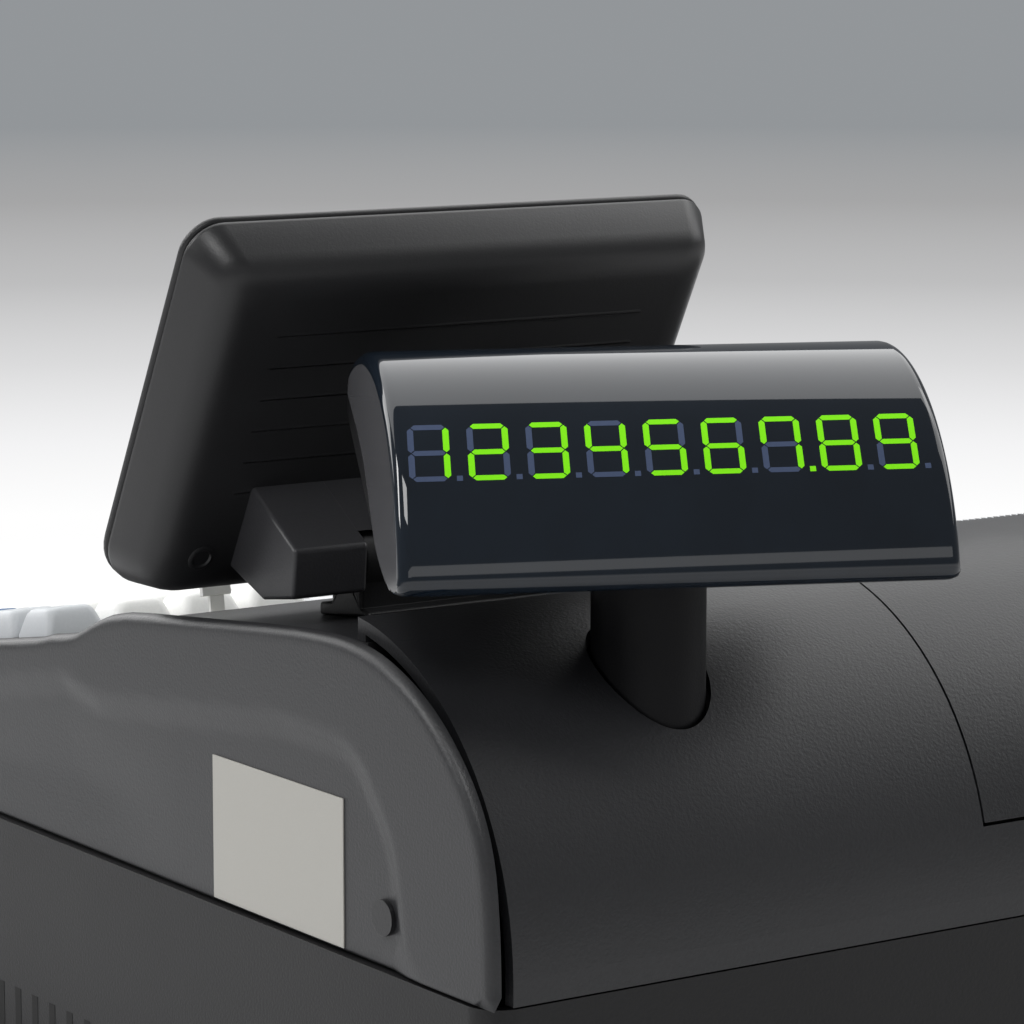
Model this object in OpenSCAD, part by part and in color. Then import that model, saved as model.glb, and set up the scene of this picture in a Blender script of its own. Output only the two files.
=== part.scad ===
/* [Case] */
// Overall width of the register body
case_w = 360; // [340:1:380]
// Outside face of the rear wall, measured back from the middle of the cabinet
case_rear = 195; // [185:1:200]
// Outside face of the front wall, measured forward from the middle of the cabinet
case_front = 200; // [190:1:206]
// Height of the lower case
lower_h = 68; // [60:1:76]
// Wall thickness of the mouldings
wall = 3; // [2:0.5:4]
// Thickness of each side panel
side_t = 6; // [5:0.5:8]
// Height that the side panels stand proud of the deck
rim = 1.5; // [0.5:0.5:3]
// Depth of the recess in each side panel
recess_d = 1.5; // [0.5:0.5:2.5]
// Gap at the seams between mouldings
seam = 0.4; // [0.2:0.1:0.8]

/* [Rear dome] */
// Radius of the rounded rear cover
dome_r = 69; // [60:1:74]
// Radius of the flatter crown over the printer
crown_r = 190; // [150:5:260]
// Steepness at which the two radii meet, in degrees from level
dome_turn = 90; // [66:1:90]
// Length of the rear cover ahead of the display post
crease_back = 29.5; // [26:0.5:34]

/* [Deck] */
// Slope of the keyboard deck in degrees
deck_tilt = 9.65; // [6:0.05:12]
// Slope of the top panel in degrees
top_tilt = 5.82; // [4:0.02:8]
// Height of the step between deck and top panel
step_h = 5.4; // [3:0.2:8]
// Length of the sloping step
step_l = 10; // [6:1:16]
// Height of the top panel above the top of the lower case, at its front edge
top_z = 58.7; // [50:0.1:66]
// Distance of the top panel's front edge behind the middle of the cabinet
top_y = 33.5; // [25:0.5:38]

/* [Keys] */
// Spacing of the keys
key_pitch = 20; // [19:0.5:22]
// Width of a key cap
key_w = 17.5; // [15:0.5:18]
// Height of a key cap above the deck
key_h = 7; // [4:0.5:10]
// Travel of a key
key_travel = 3; // [2:0.5:3.5]
// Gap between a key and its hole
key_gap = 0.3; // [0.2:0.1:0.6]
// Middle of the keypad, to the operator's right
pad_x = 122; // [110:1:126]
// Distance of the top row in front of the step
pad_y = 66; // [60:1:80]

/* [Mode lock] */
// Place of the mode lock to the operator's right
lock_x = 138; // [125:1:150]
// Distance of the mode lock in front of the step
lock_y = 10; // [10:1:16]
// Radius of the turning lock barrel
lock_r = 6; // [5:0.5:7]

/* [Customer display] */
// Place of the display post to the operator's right
post_x = 118; // [108:1:118]
// Distance of the post axis in front of the rear wall
post_in = 30; // [29:0.5:34]
// Radius of the post
post_r = 12.6; // [10:0.1:13]
// Gap round the post where it passes through the cover
post_gap = 1.1; // [0.6:0.1:1.5]
// Angle that the display is turned from facing straight back
swivel = 23.2; // [0:0.1:23.2]
// Length of the clear front cover
pod_w = 121; // [112:1:122]
// Length of the back shell
pod_back_w = 116; // [106:1:117]
// Radius of the curved front
pod_r = 51.1; // [50:0.1:52]
// Thickness of the display mouldings
pod_t = 2.4; // [2:0.2:3]
// Distance that the post can drop
post_drop = 6; // [3:1:6]

/* [Operator display] */
// Width of the operator display
screen_w = 142; // [130:1:142]
// Height of the operator display along its face
screen_h = 98.7; // [90:0.1:100]
// Lean of the operator display in degrees
screen_lean = 27.8; // [24:0.2:28]
// Depth of the back shell behind the parting line
screen_back = 14; // [12:0.5:15]
// Depth of the bezel in front of the parting line
screen_front = 3; // [3:0.5:6]
// Width of the hinge arm
arm_w = 91; // [80:1:92]
// Width of the neck
neck_w = 50; // [44:1:54]
// Radius of the tilt pin
pin_r = 4; // [3:0.5:4]

/* [Printer] */
// Right-hand edge of the printer cover
cover_x = 45.1; // [40:0.1:45.4]
// Thickness of the printer cover
cover_t = 2.5; // [2:0.5:3]
// Height of the printer cover's lower edge above the dome centre
cover_drop = 17.2; // [14:0.2:20]
// Radius of the paper roll
roll_r = 35; // [25:1:36]
// Width of the paper roll
roll_w = 57.5; // [44:0.5:58]
// Radius of the platen roller
platen_r = 8; // [6:0.5:9]

/* [Cash drawer] */
// Width of the drawer cabinet
cabinet_w = 400; // [390:1:420]
// Depth of the drawer cabinet
cabinet_d = 424; // [416:1:440]
// Height of the drawer cabinet
cabinet_h = 99; // [94:1:110]
// Thickness of the cabinet sheet
sheet = 1.5; // [1:0.1:2]
// Height of the rubber feet
foot_h = 6; // [4:1:10]
// Thickness of the drawer front
front_t = 7.6; // [6:0.2:8]
// Depth of the drawer box
drawer_d = 375; // [350:1:380]
// Number of note compartments
notes = 4; // [3:1:5]
// Number of coin cups
coins = 5; // [4:1:6]
// Wall of the money tray
tray_t = 2.5; // [2:0.5:3]

/* [Hidden] */
$fn = 96;

eps = 0.01;
running = 0.05;          // radial clearance of a running fit
clear = 0.3;             // clearance between moving and fixed faces

plastic = "#2b2b2d";
plastic_dark = "#1d1d20";
steel = "#8f9296";
charcoal = "#3a3b3d";

// Case heights
case_z = foot_h + cabinet_h;
seam_z = case_z + lower_h;
half_w = case_w / 2;
inner_w = half_w - side_t - 0.2;

// Deck and top panel
top_edge_z = seam_z + top_z - rim;
step_y = top_y - step_l;
step_z = top_edge_z - step_h;
front_z = step_z - (step_y + case_front) * tan(deck_tilt);
function top_line(y) = top_edge_z + (y - top_y) * tan(top_tilt);

// Rear dome: a tight arc at the back that runs on into a flatter crown. It springs from
// just above the seam, or higher where it has to rise clear of the top panel at the crease
post_y = case_rear - post_in;
crease_y = post_y - crease_back;
crease_h = 5.5;
spring_h = 4.8;
dome_y = case_rear - dome_r;
crown_y = dome_y + (dome_r - crown_r) * cos(dome_turn);
turn_y = dome_y + dome_r * cos(dome_turn);
arc_rise = sqrt(pow(dome_r, 2) - pow(crease_y - dome_y, 2));
crown_rise = (dome_r - crown_r) * sin(dome_turn) + sqrt(pow(crown_r, 2) - pow(crease_y - crown_y, 2));
crease_rise = crease_y > turn_y ? arc_rise : crown_rise;
dome_z = max(seam_z + spring_h, top_line(crease_y) + crease_h - crease_rise);
turn_z = dome_z + dome_r * sin(dome_turn);
crown_z = turn_z - crown_r * sin(dome_turn);

// Display post; the datum of both displays lies just under the skin of the dome
post_sink = 2.7;
post_z = dome_z + sqrt(pow(dome_r, 2) - pow(post_y - dome_y, 2)) - post_sink;
post_len = 80;
collar_len = 20;

// Side panel screws, back from the middle and up from the seam
screw_places = [[153.7, seam_z + 11.2], [-150, seam_z + 6]];
screw_r = 1.7;

// Keyboard board below the deck, and the mains inlet in the rear wall
board_z = 12;
inlet_x = -135;
inlet_z = case_z + 25;

// Printer cover
cover_z = dome_z + cover_drop;
cover_front = 62;
cover_left = -inner_w + 0.3;
hinge_y = dome_y + dome_r - 12.2;
hinge_z = cover_z + 5;
hinge_sweep = norm([dome_y + sqrt(pow(dome_r, 2) - pow(cover_drop, 2)) - hinge_y, cover_z - hinge_z]) + 0.5;
hinge_pin_r = 2.5;
plate_t = 3;
plate_left = cover_left + 8;
plate_right = cover_x - 8;
bay_floor = case_z + 35;
roll_y = 126;
roll_z = dome_z + 12;
roll_x = -65;
platen_y = 84;
platen_z = roll_z + roll_r + 2;
platen_len = 60;
platen_shaft_r = 3;
head_y = platen_y + platen_r + clear;

// Cash drawer
cabinet_front = -cabinet_d / 2;
cabinet_x = cabinet_w / 2 - sheet;
rail_z = foot_h + 38;
runner_h = 7;
runner_out = 1;
box_x = cabinet_x - 12.5;
box_z = foot_h + 6;
box_h = 83;
box_t = 1.2;
box_front = cabinet_front - clear;
box_rear = box_front + drawer_d;
tray_x = box_x - box_t - 0.5;
tray_front = box_front + 11;
tray_rear = box_rear - box_t - 0.5;
tray_z = box_z + box_t;
tray_h = 72;
coin_d = 110;
note_w = (2 * tray_x - (notes + 1) * tray_t) / notes;
coin_w = (2 * tray_x - (coins + 1) * tray_t) / coins;
clip_y = tray_rear - tray_t - 6;
clip_z = tray_z + tray_h - 7;
clip_r = 2;
clip_w = 44;
ear_t = 4;
drawer_lock_z = foot_h + 60;
drawer_lock_r = 9;

// Latch at the back of the cabinet
latch_y = box_rear + 24;
latch_z = foot_h + 40;

// Customer display section, across the pod and up from the post's foot
pod_y = -16.5;
pod_z = 18.8;
pod_back = -48;
digit_lean = 46.5;
digit_out = 46;
digit_t = 7;

// Operator display
screen_x = post_x;
screen_y = post_y - 120;
screen_z = post_z + 9.7;
tilt_y = post_y - 84;
tilt_z = post_z + 17;
view_w = screen_w - 20;
view_h = screen_h - 32.7;
view_up = 3;

function note_x(i) = -tray_x + tray_t + note_w / 2 + (i - 1) * (note_w + tray_t);

// ---------- frames and helpers ----------

// Outlines drawn in the Y-Z plane, each carried from x0 to x1
module yz(x0, x1) {
    for (i = [0:$children - 1])
        translate([x0, 0, 0]) rotate([90, 0, 90]) linear_extrude(x1 - x0) children(i);
}

module box(a, b) {
    translate(a) cube(b - a);
}

module rod_x(x0, x1, y, z, r) {
    translate([x0, y, z]) rotate([0, 90, 0]) cylinder(h = x1 - x0, r = r);
}

module rod_y(y0, y1, x, z, r) {
    translate([x, y0, z]) rotate([-90, 0, 0]) cylinder(h = y1 - y0, r = r);
}

module rod_z(z0, z1, x, y, r) {
    translate([x, y, z0]) cylinder(h = z1 - z0, r = r);
}

module on_deck() {
    translate([0, step_y, step_z]) rotate([deck_tilt, 0, 0]) children();
}

module at_post() {
    translate([post_x, post_y, post_z]) rotate([0, 0, -swivel]) children();
}

module at_screen() {
    translate([screen_x, screen_y, screen_z]) rotate([-screen_lean, 0, 0]) children();
}

module rounded(w, h, r) {
    translate([-w / 2 + r, -h / 2]) square([w - 2 * r, h]);
    translate([-w / 2, -h / 2 + r]) square([w, h - 2 * r]);
    for (sx = [-1, 1], sy = [-1, 1])
        translate([sx * (w / 2 - r), sy * (h / 2 - r)]) circle(r);
}

// ---------- case outlines ----------

// Everything under the dome from x0 to x1, d below its outer skin
module dome(x0, x1, d) {
    out = 60;
    intersection() {
        rod_x(x0, x1, dome_y, dome_z, dome_r - d);
        box([x0 - 1, dome_y, dome_z], [x1 + 1, dome_y + dome_r, dome_z + dome_r]);
    }
    intersection() {
        rod_x(x0, x1, crown_y, crown_z, crown_r - d);
        yz(x0 - 1, x1 + 1) polygon([
            [dome_y, dome_z], [turn_y + out * cos(dome_turn), turn_z + out * sin(dome_turn)],
            [0, turn_z + out], [0, dome_z]
        ]);
    }
}

module dome_skin(x0, x1, t) {
    difference() {
        dome(x0, x1, 0);
        dome(x0 - 1, x1 + 1, t);
    }
}

module deck_outline(up) {
    polygon([
        [-case_front, seam_z], [-case_front, front_z + up - 6], [-case_front + 2, front_z + up - 1.5],
        [-case_front + 7, front_z + up + 7 * tan(deck_tilt)], [step_y, step_z + up], [top_y, top_edge_z + up],
        [crease_y + 10, top_line(crease_y + 10) + up], [crease_y + 10, seam_z]
    ]);
}

module recess(x0, x1) {
    bend = 30;
    bend_y = dome_y + 15;
    yz(x0, x1) polygon([
        [-case_front + 14, seam_z - 1], [-case_front + 14, front_z - 10],
        [step_y - 4, step_z - 12], [step_y + 12, step_z - 14],
        [bend_y, seam_z + 19 + bend], [bend_y + bend, seam_z + 19], [bend_y + bend, seam_z - 1]
    ]);
    rod_x(x0, x1, bend_y, seam_z + 19, bend);
}

// ---------- cash drawer ----------

module rubber_feet() {
    color(plastic_dark)
        for (x = [-1, 1], y = [-1, 1])
            rod_z(0, foot_h, x * (cabinet_w / 2 - 30), y * (cabinet_d / 2 - 30), 12);
}

module drawer_cabinet() {
    color(charcoal) {
        difference() {
            box([-cabinet_w / 2, cabinet_front, foot_h], [cabinet_w / 2, -cabinet_front, case_z]);
            box([-cabinet_x, cabinet_front - 1, foot_h + sheet],
                [cabinet_x, -cabinet_front - sheet, case_z - sheet]);
        }
        for (s = [-1, 1], z = [rail_z, rail_z + sheet + runner_h + 0.4]) {
            x = s * (cabinet_x - 5);
            box([x - 5 - eps * (1 - s) / 2, cabinet_front, z],
                [x + 5 + eps * (1 + s) / 2, box_rear + 10, z + sheet]);
        }
        // keeper that the lock's cam turns up behind
        box([-20, box_front + 2, box_z + box_h + 1], [20, box_front + 4.5, case_z - sheet + eps]);
    }
}

module drawer_solenoid() {
    color(steel) difference() {
        union() {
            box([-18, latch_y - 6, foot_h + sheet], [18, latch_y + 18, foot_h + sheet + 3]);
            for (s = [-1, 1])
                box([s * 12 - 2, latch_y - 6, foot_h + sheet], [s * 12 + 2, latch_y + 6, latch_z + 6]);
            rod_z(foot_h + sheet + 3, latch_z - 8, 0, latch_y + 10, 9);
        }
        rod_x(-15, 15, latch_y, latch_z, 2 + running);
    }
}

module drawer_latch() {
    color(steel) {
        rod_x(-14, 14, latch_y, latch_z, 2);
        rod_x(-9, 9, latch_y, latch_z, 4);
        box([-8, latch_y - 20, latch_z - 1.5], [8, latch_y + 15, latch_z + 1.5]);
        box([-8, latch_y - 20, latch_z - 5], [8, latch_y - 16.5, latch_z]);
    }
}

module drawer_box() {
    catch_z = latch_z - 7.5;
    color(steel) {
        difference() {
            box([-box_x, box_front, box_z], [box_x, box_rear, box_z + box_h]);
            box([-box_x + box_t, box_front + box_t, box_z + box_t],
                [box_x - box_t, box_rear - box_t, box_z + box_h + 1]);
            rod_y(box_front - 1, box_front + 3, 0, drawer_lock_z, drawer_lock_r + running);
        }
        difference() {
            box([-12, box_rear - eps, catch_z - 1.5], [12, box_rear + 12, catch_z]);
            box([-9, latch_y - 22, catch_z - 2], [9, latch_y - 14.5, catch_z + 1]);
        }
    }
}

module drawer_runners() {
    color("white")
        for (s = [-1, 1]) {
            x = s * (box_x + 4.5 + runner_out);
            box([x - 4.5 - runner_out, box_front + 2, rail_z + sheet + 0.2],
                [x + 4.5 + runner_out, box_rear, rail_z + sheet + 0.2 + runner_h]);
        }
}

module drawer_front() {
    color(charcoal) difference() {
        box([-cabinet_w / 2, box_front - front_t, foot_h + 2], [cabinet_w / 2, box_front, case_z - 2]);
        rod_y(box_front - front_t - 1, box_front + 1, 0, drawer_lock_z, drawer_lock_r + running);
    }
}

module drawer_lock() {
    cam = box_z + box_h + 4 - drawer_lock_z;
    color("silver") {
        difference() {
            union() {
                rod_y(box_front - front_t - 1.2, box_front - front_t, 0, drawer_lock_z, drawer_lock_r + 2);
                rod_y(box_front - front_t, box_front + 5, 0, drawer_lock_z, drawer_lock_r);
                box([-cam, box_front + 5, drawer_lock_z - 5], [4, box_front + 7, drawer_lock_z + 5]);
            }
            box([-0.8, box_front - front_t - 2, drawer_lock_z - 4],
                [0.8, box_front - front_t + 4, drawer_lock_z + 4]);
        }
    }
}

module money_tray() {
    step = tray_front + tray_t + coin_d;
    color(plastic_dark) difference() {
        box([-tray_x, tray_front, tray_z], [tray_x, tray_rear, tray_z + tray_h]);
        for (i = [1:notes]) difference() {
            box([note_x(i) - note_w / 2, step + tray_t, tray_z + tray_t],
                [note_x(i) + note_w / 2, tray_rear - tray_t, tray_z + tray_h + 1]);
            for (s = [-1, 1]) {
                x = note_x(i) + s * (clip_w / 2 + 0.5 + ear_t / 2);
                difference() {
                    box([x - ear_t / 2, clip_y - 5, clip_z - 7], [x + ear_t / 2, tray_rear, clip_z + 6]);
                    rod_x(x - ear_t, x + ear_t, clip_y, clip_z, clip_r + running);
                }
            }
        }
        for (i = [1:coins]) {
            x = -tray_x + tray_t + (i - 1) * (coin_w + tray_t);
            rod_x(x, x + coin_w, tray_front + tray_t + coin_d / 2, tray_z + tray_t + coin_d / 2, coin_d / 2);
            box([x, tray_front + tray_t, tray_z + tray_t + coin_d / 2 - 5],
                [x + coin_w, tray_front + tray_t + coin_d, tray_z + tray_h + 1]);
        }
    }
}

module note_clip(i) {
    x = note_x(i);
    reach = 84;
    lean = asin((clip_z - tray_z - tray_t - 3) / reach);
    color(steel) {
        rod_x(x - clip_w / 2 - ear_t, x + clip_w / 2 + ear_t, clip_y, clip_z, clip_r);
        rod_x(x - clip_w / 2, x + clip_w / 2, clip_y, clip_z, 3.5);
        translate([x, clip_y, clip_z]) rotate([lean, 0, 0]) {
            box([-9, -reach, -1], [9, 0, 1]);
            rod_x(-30, 30, -reach, 0, 2.6);
        }
    }
}

// ---------- register case ----------

module lower_case() {
    color(plastic) difference() {
        union() {
            difference() {
                translate([0, (case_rear - case_front) / 2, case_z]) linear_extrude(lower_h - seam)
                    rounded(case_w, case_rear + case_front, 8);
                translate([0, (case_rear - case_front) / 2, case_z + wall]) linear_extrude(lower_h)
                    rounded(case_w - 2 * wall, case_rear + case_front - 2 * wall, 5);
            }
            for (x = [-48, 148], y = [-140, 30]) rod_z(case_z + 1, case_z + 11, x, y, 4);
            for (x = [plate_left + 12, plate_right - 12], y = [cover_front + 14, 168])
                rod_z(case_z + 1, bay_floor, x, y, 5);
        }
        box([inlet_x - 13, case_rear - wall - 1, inlet_z - 9], [inlet_x + 13, case_rear + 1, inlet_z + 9]);
    }
}

module upper_case() {
    color(plastic) {
        difference() {
            yz(-inner_w, inner_w) deck_outline(0);
            yz(-inner_w - 1, inner_w + 1) translate([wall, -wall]) deck_outline(0);
            box([-inner_w - 1, crease_y + 4, 0], [inner_w + 1, crease_y + 40, 400]);
            box([-inner_w - 1, cover_front - 0.5, 0], [cover_x + 0.6, crease_y + 40, 400]);
            on_deck() {
                for (k = keys) translate([k[1], k[2], -20]) linear_extrude(40)
                    square([key_span(k[3]) + 2 * key_gap, key_span(k[4]) + 2 * key_gap], center = true);
                translate([lock_x, -lock_y, -20]) cylinder(h = 40, r = lock_r + 2);
            }
        }
        on_deck() for (x = [-150, 150], y = [-170, -40])
            translate([x, y, -board_z]) cylinder(h = board_z - wall + 1, r = 4);
    }
}

module side_panel(s) {
    x0 = half_w - side_t;
    top = top_edge_z + rim;
    color(plastic) mirror([s < 0 ? 1 : 0, 0, 0]) difference() {
        intersection() {
            union() {
                yz(x0, half_w) deck_outline(rim);
                intersection() {
                    rod_x(x0, half_w, dome_y, dome_z, dome_r + 1);
                    box([x0, dome_y, dome_z - 1], [half_w, dome_y + 2 * dome_r, dome_z + 2 * dome_r]);
                }
                box([x0, dome_y, seam_z], [half_w, dome_y + dome_r + 1, dome_z]);
            }
            yz(x0 - 1, half_w + 1) polygon([
                [-case_front - 1, seam_z], [-case_front - 1, top], [top_y, top_line(top_y) + rim],
                [case_rear + 2, top_line(case_rear + 2) + rim], [case_rear + 2, seam_z]
            ]);
        }
        recess(half_w - recess_d, half_w + 1);
        for (p = screw_places) rod_x(x0 - 1, half_w + 1, p[0], p[1], screw_r + running);
    }
}

module case_screws() {
    x0 = half_w - recess_d;
    color(steel) for (s = [0, 1]) mirror([s, 0, 0]) for (p = screw_places) {
        rod_x(x0, x0 + 1.2, p[0], p[1], 4);
        rod_x(x0 - side_t + recess_d, x0, p[0], p[1], screw_r);
    }
}

module rating_plate() {
    x0 = half_w - recess_d;
    color("ivory") box([x0, 81, seam_z + 0.8], [x0 + 0.4, 137, seam_z + 34]);
}

module rear_cover() {
    wall_y = dome_y + dome_r;
    lip_z = top_line(crease_y + wall) + 0.05;
    color(plastic) difference() {
        union() {
            intersection() {
                dome_skin(-inner_w, inner_w, wall);
                box([-inner_w - 1, crease_y, 0], [inner_w + 1, wall_y + 1, 400]);
            }
            box([-inner_w, wall_y - wall, seam_z], [inner_w, wall_y, dome_z + 1]);
            box([-inner_w, crease_y, lip_z], [inner_w, crease_y + wall, lip_z + 4]);
        }
        box([-inner_w - 1, 0, cover_z - 0.5], [cover_x + 0.6, 300, 400]);
        rod_x(-inner_w - 1, cover_x + 0.6, hinge_y, hinge_z, hinge_sweep);
        rod_z(seam_z, seam_z + 200, post_x, post_y, post_r + post_gap);
    }
}

// ---------- keyboard ----------

// name, column, row, width and height in key units
layout = [
    ["key_7", 0, 0, 1, 1], ["key_8", 1, 0, 1, 1], ["key_9", 2, 0, 1, 1], ["key_multiply", 3, 0, 1, 1],
    ["key_4", 0, 1, 1, 1], ["key_5", 1, 1, 1, 1], ["key_6", 2, 1, 1, 1], ["key_clear", 3, 1, 1, 1],
    ["key_1", 0, 2, 1, 1], ["key_2", 1, 2, 1, 1], ["key_3", 2, 2, 1, 1],
    ["key_0", 0.5, 3, 2, 1], ["key_00", 2, 3, 1, 1], ["key_cash", 3, 2.5, 1, 2]
];
// the same, with the column and row turned into places on the deck
keys = [for (k = layout) [k[0], pad_x + (k[1] - 1.5) * key_pitch, -pad_y - k[2] * key_pitch, k[3], k[4]]];

function key_span(units) = key_w + (units - 1) * key_pitch;

module key(name) {
    k = keys[search([name], keys)[0]];
    across = key_span(k[3]);
    along = key_span(k[4]);
    flange = wall + 0.6;
    color("gainsboro") on_deck() translate([k[1], k[2], 0]) {
        translate([0, 0, -flange - 1]) linear_extrude(flange + 1 + key_h) rounded(across, along, 2);
        translate([0, 0, -flange - 1.5]) linear_extrude(1.5)
            square([across + 1.4, along + 1.4], center = true);
        translate([0, 0, -board_z + key_travel + 0.2]) cylinder(h = board_z - key_travel - flange, r = 3);
    }
}

module key_membrane() {
    color("darkgray") on_deck() translate([-50, -110, 0]) linear_extrude(0.8) rounded(236, 190, 6);
}

module keyboard_board() {
    color("darkgreen") on_deck() translate([0, -112, -board_z - 1.6]) linear_extrude(1.6)
        square([330, 170], center = true);
}

module mode_lock_body() {
    color("silver") on_deck() translate([lock_x, -lock_y, 0]) difference() {
        union() {
            cylinder(h = 1.6, r = lock_r + 3.5);
            translate([0, 0, -22]) cylinder(h = 22, r = lock_r + 1.9);
        }
        translate([0, 0, -20]) cylinder(h = 30, r = lock_r + running);
    }
}

module mode_lock_barrel() {
    color("silver") on_deck() translate([lock_x, -lock_y, 0]) difference() {
        translate([0, 0, -20]) cylinder(h = 21.2, r = lock_r);
        translate([0, 0, -8]) linear_extrude(20) square([4.4, 1.4], center = true);
    }
}

module mode_key() {
    color("silver") on_deck() translate([lock_x, -lock_y, 0]) {
        translate([0, 0, -7.8]) linear_extrude(15.8) square([4, 1.2], center = true);
        translate([0, 0, 7]) linear_extrude(4) square([8, 1.6], center = true);
        translate([0, 0.9, 19]) rotate([90, 0, 0]) difference() {
            cylinder(h = 1.8, r = 9.5);
            translate([0, 4.5, -1]) cylinder(h = 4, r = 2.5);
        }
    }
}

// ---------- operator display ----------

module display_neck() {
    foot = top_line(tilt_y - 12) + 0.02;
    color(plastic_dark) difference() {
        yz(screen_x - neck_w / 2, screen_x + neck_w / 2) {
            polygon([
                [tilt_y - 12, foot], [tilt_y - 12, foot + 3],
                [tilt_y - 6.5, foot + 4], [tilt_y - 6.5, tilt_z], [tilt_y + 6.5, tilt_z],
                [tilt_y + 6.5, foot + 4], [tilt_y + 10, foot + 3.5],
                [tilt_y + 10, top_line(tilt_y + 10) + 0.02]
            ]);
            translate([tilt_y, tilt_z]) circle(8.5);
        }
        rod_x(screen_x - neck_w, screen_x + neck_w, tilt_y, tilt_z, pin_r + 0.02);
    }
}

module tilt_pin() {
    color(steel) rod_x(screen_x - arm_w / 2 + 4, screen_x + arm_w / 2 - 4, tilt_y, tilt_z, pin_r);
}

module screen_slab(y0, y1, inset) {
    w = screen_w - 2 * inset;
    h = screen_h - 2 * inset;
    translate([0, y0, screen_h / 2]) rotate([-90, 0, 0]) linear_extrude(y1 - y0)
        rounded(w, h, 12 - inset / 2);
}

module operator_shell() {
    slot = neck_w / 2 + 0.6;
    arm = [
        [tilt_y - 8, tilt_z + 17.6], [tilt_y + 11.5, tilt_z + 4.7], [tilt_y + 10.5, tilt_z - 6.6],
        [tilt_y - 3.5, tilt_z - 8.7], [tilt_y - 19.5, tilt_z - 2.3], [tilt_y - 20.5, tilt_z - 0.5],
        [tilt_y - 9.5, tilt_z + 18]
    ];
    color(plastic) difference() {
        union() {
            difference() {
                at_screen() hull() {
                    screen_slab(0, 2, 0.4);
                    screen_slab(2, screen_back - 3, 4.5);
                    screen_slab(2, screen_back, 7.5);
                }
                at_screen() hull() {
                    screen_slab(-1, 2, 2.8);
                    screen_slab(0, screen_back - 2.4, 9.5);
                }
            }
            yz(screen_x - arm_w / 2, screen_x + arm_w / 2) polygon(arm);
        }
        yz(screen_x - slot, screen_x + slot) {
            translate([tilt_y, tilt_z]) circle(9);
            translate([tilt_y - 9, tilt_z - 20]) square([18, 20]);
            polygon([
                [tilt_y - 9, tilt_z], [tilt_y - 9, tilt_z - 20],
                [tilt_y - 13, tilt_z - 20], [tilt_y - 13, tilt_z - 4]
            ]);
        }
        rod_x(screen_x - arm_w / 2 + 3.8, screen_x + arm_w / 2 - 3.8, tilt_y, tilt_z, pin_r + running);
    }
}

module operator_bezel() {
    color(plastic_dark) at_screen() difference() {
        screen_slab(-screen_front, -0.2, 0);
        screen_slab(-screen_front + 2, 1, 2.4);
        translate([0, -screen_front - 1, screen_h / 2 + view_up]) rotate([-90, 0, 0])
            linear_extrude(10) rounded(view_w, view_h, 2);
    }
}

module operator_window() {
    color("slategray") at_screen() translate([0, -screen_front + 2, screen_h / 2 + view_up])
        rotate([-90, 0, 0]) linear_extrude(1.5) rounded(view_w + 8, view_h + 8, 3);
}

module operator_lcd() {
    color("darkgreen") at_screen() {
        translate([0, -screen_front + 3.5, screen_h / 2 + view_up]) rotate([-90, 0, 0])
            linear_extrude(3.5) square([view_w + 4, view_h + 4], center = true);
        translate([0, -screen_front + 7, screen_h / 2]) rotate([-90, 0, 0])
            linear_extrude(1.6) square([view_w + 6, view_h + 12], center = true);
    }
}

// ---------- customer display ----------

module pod_outline(d) {
    intersection() {
        translate([pod_y, pod_z]) circle(pod_r - d);
        polygon([
            [pod_back + d, 90], [pod_back + d, 54.5], [-44 + d, 49.5 + d / 2], [-2 + d / 2, 25.3 + d],
            [26, 23.6 + d], [32.4 - d, 25.2 + d / 2], [34.2 - d, 28], [60, 40], [60, 90]
        ]);
    }
}

module pod_front_area(d) {
    polygon([
        [-39.3 + d, 90], [-39.3 + d, 58 + d], [-15.4, 46.3 + d], [2, 31 + d], [22, 24.2 + d],
        [22 + d, 15], [80, 15], [80, 90]
    ]);
}

module customer_window() {
    color("black") at_post() difference() {
        yz(-pod_w / 2, pod_w / 2) intersection() {
            pod_outline(0);
            pod_front_area(0.1);
        }
        yz(-pod_w / 2 + pod_t, pod_w / 2 - pod_t) pod_outline(pod_t);
    }
}

module customer_shell() {
    color(plastic_dark) at_post() difference() {
        yz(-pod_back_w / 2, pod_back_w / 2) difference() {
            pod_outline(0);
            pod_front_area(-0.1);
        }
        yz(-pod_back_w / 2 + pod_t, pod_back_w / 2 - pod_t) pod_outline(pod_t);
        translate([0, 0, -50]) cylinder(h = 50 + 37, r = post_r + 0.02);
    }
    color(plastic_dark) at_post() difference() {
        translate([0, 0, 26]) cylinder(h = 12, r = post_r + 3);
        translate([0, 0, 20]) cylinder(h = 16, r = post_r + 0.02);
        yz(-30, 30) pod_front_area(-0.1);
    }
}

module customer_digits() {
    color("darkgreen") at_post() translate([0, pod_y, pod_z]) rotate([digit_lean, 0, 0]) {
        translate([0, digit_out - digit_t / 2, 0]) cube([112, digit_t, 20], center = true);
        translate([0, digit_out - digit_t - 0.8, 0]) cube([116, 1.6, 26], center = true);
    }
}

module display_post() {
    color(plastic_dark) at_post() translate([0, 0, -post_len]) difference() {
        cylinder(h = post_len + 35, r = post_r);
        translate([0, 0, -1]) cylinder(h = post_len + 34, r = post_r - 3);
    }
}

module post_collar() {
    color("white") at_post() translate([0, 0, -post_len]) difference() {
        union() {
            cylinder(h = collar_len, r = post_r + 3);
            translate([0, 0, -3]) cylinder(h = 3 + eps, r = post_r + 3);
        }
        cylinder(h = collar_len + 1, r = post_r + running);
        translate([0, 0, -4]) cylinder(h = 5, r = post_r - 4);
    }
}

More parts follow.
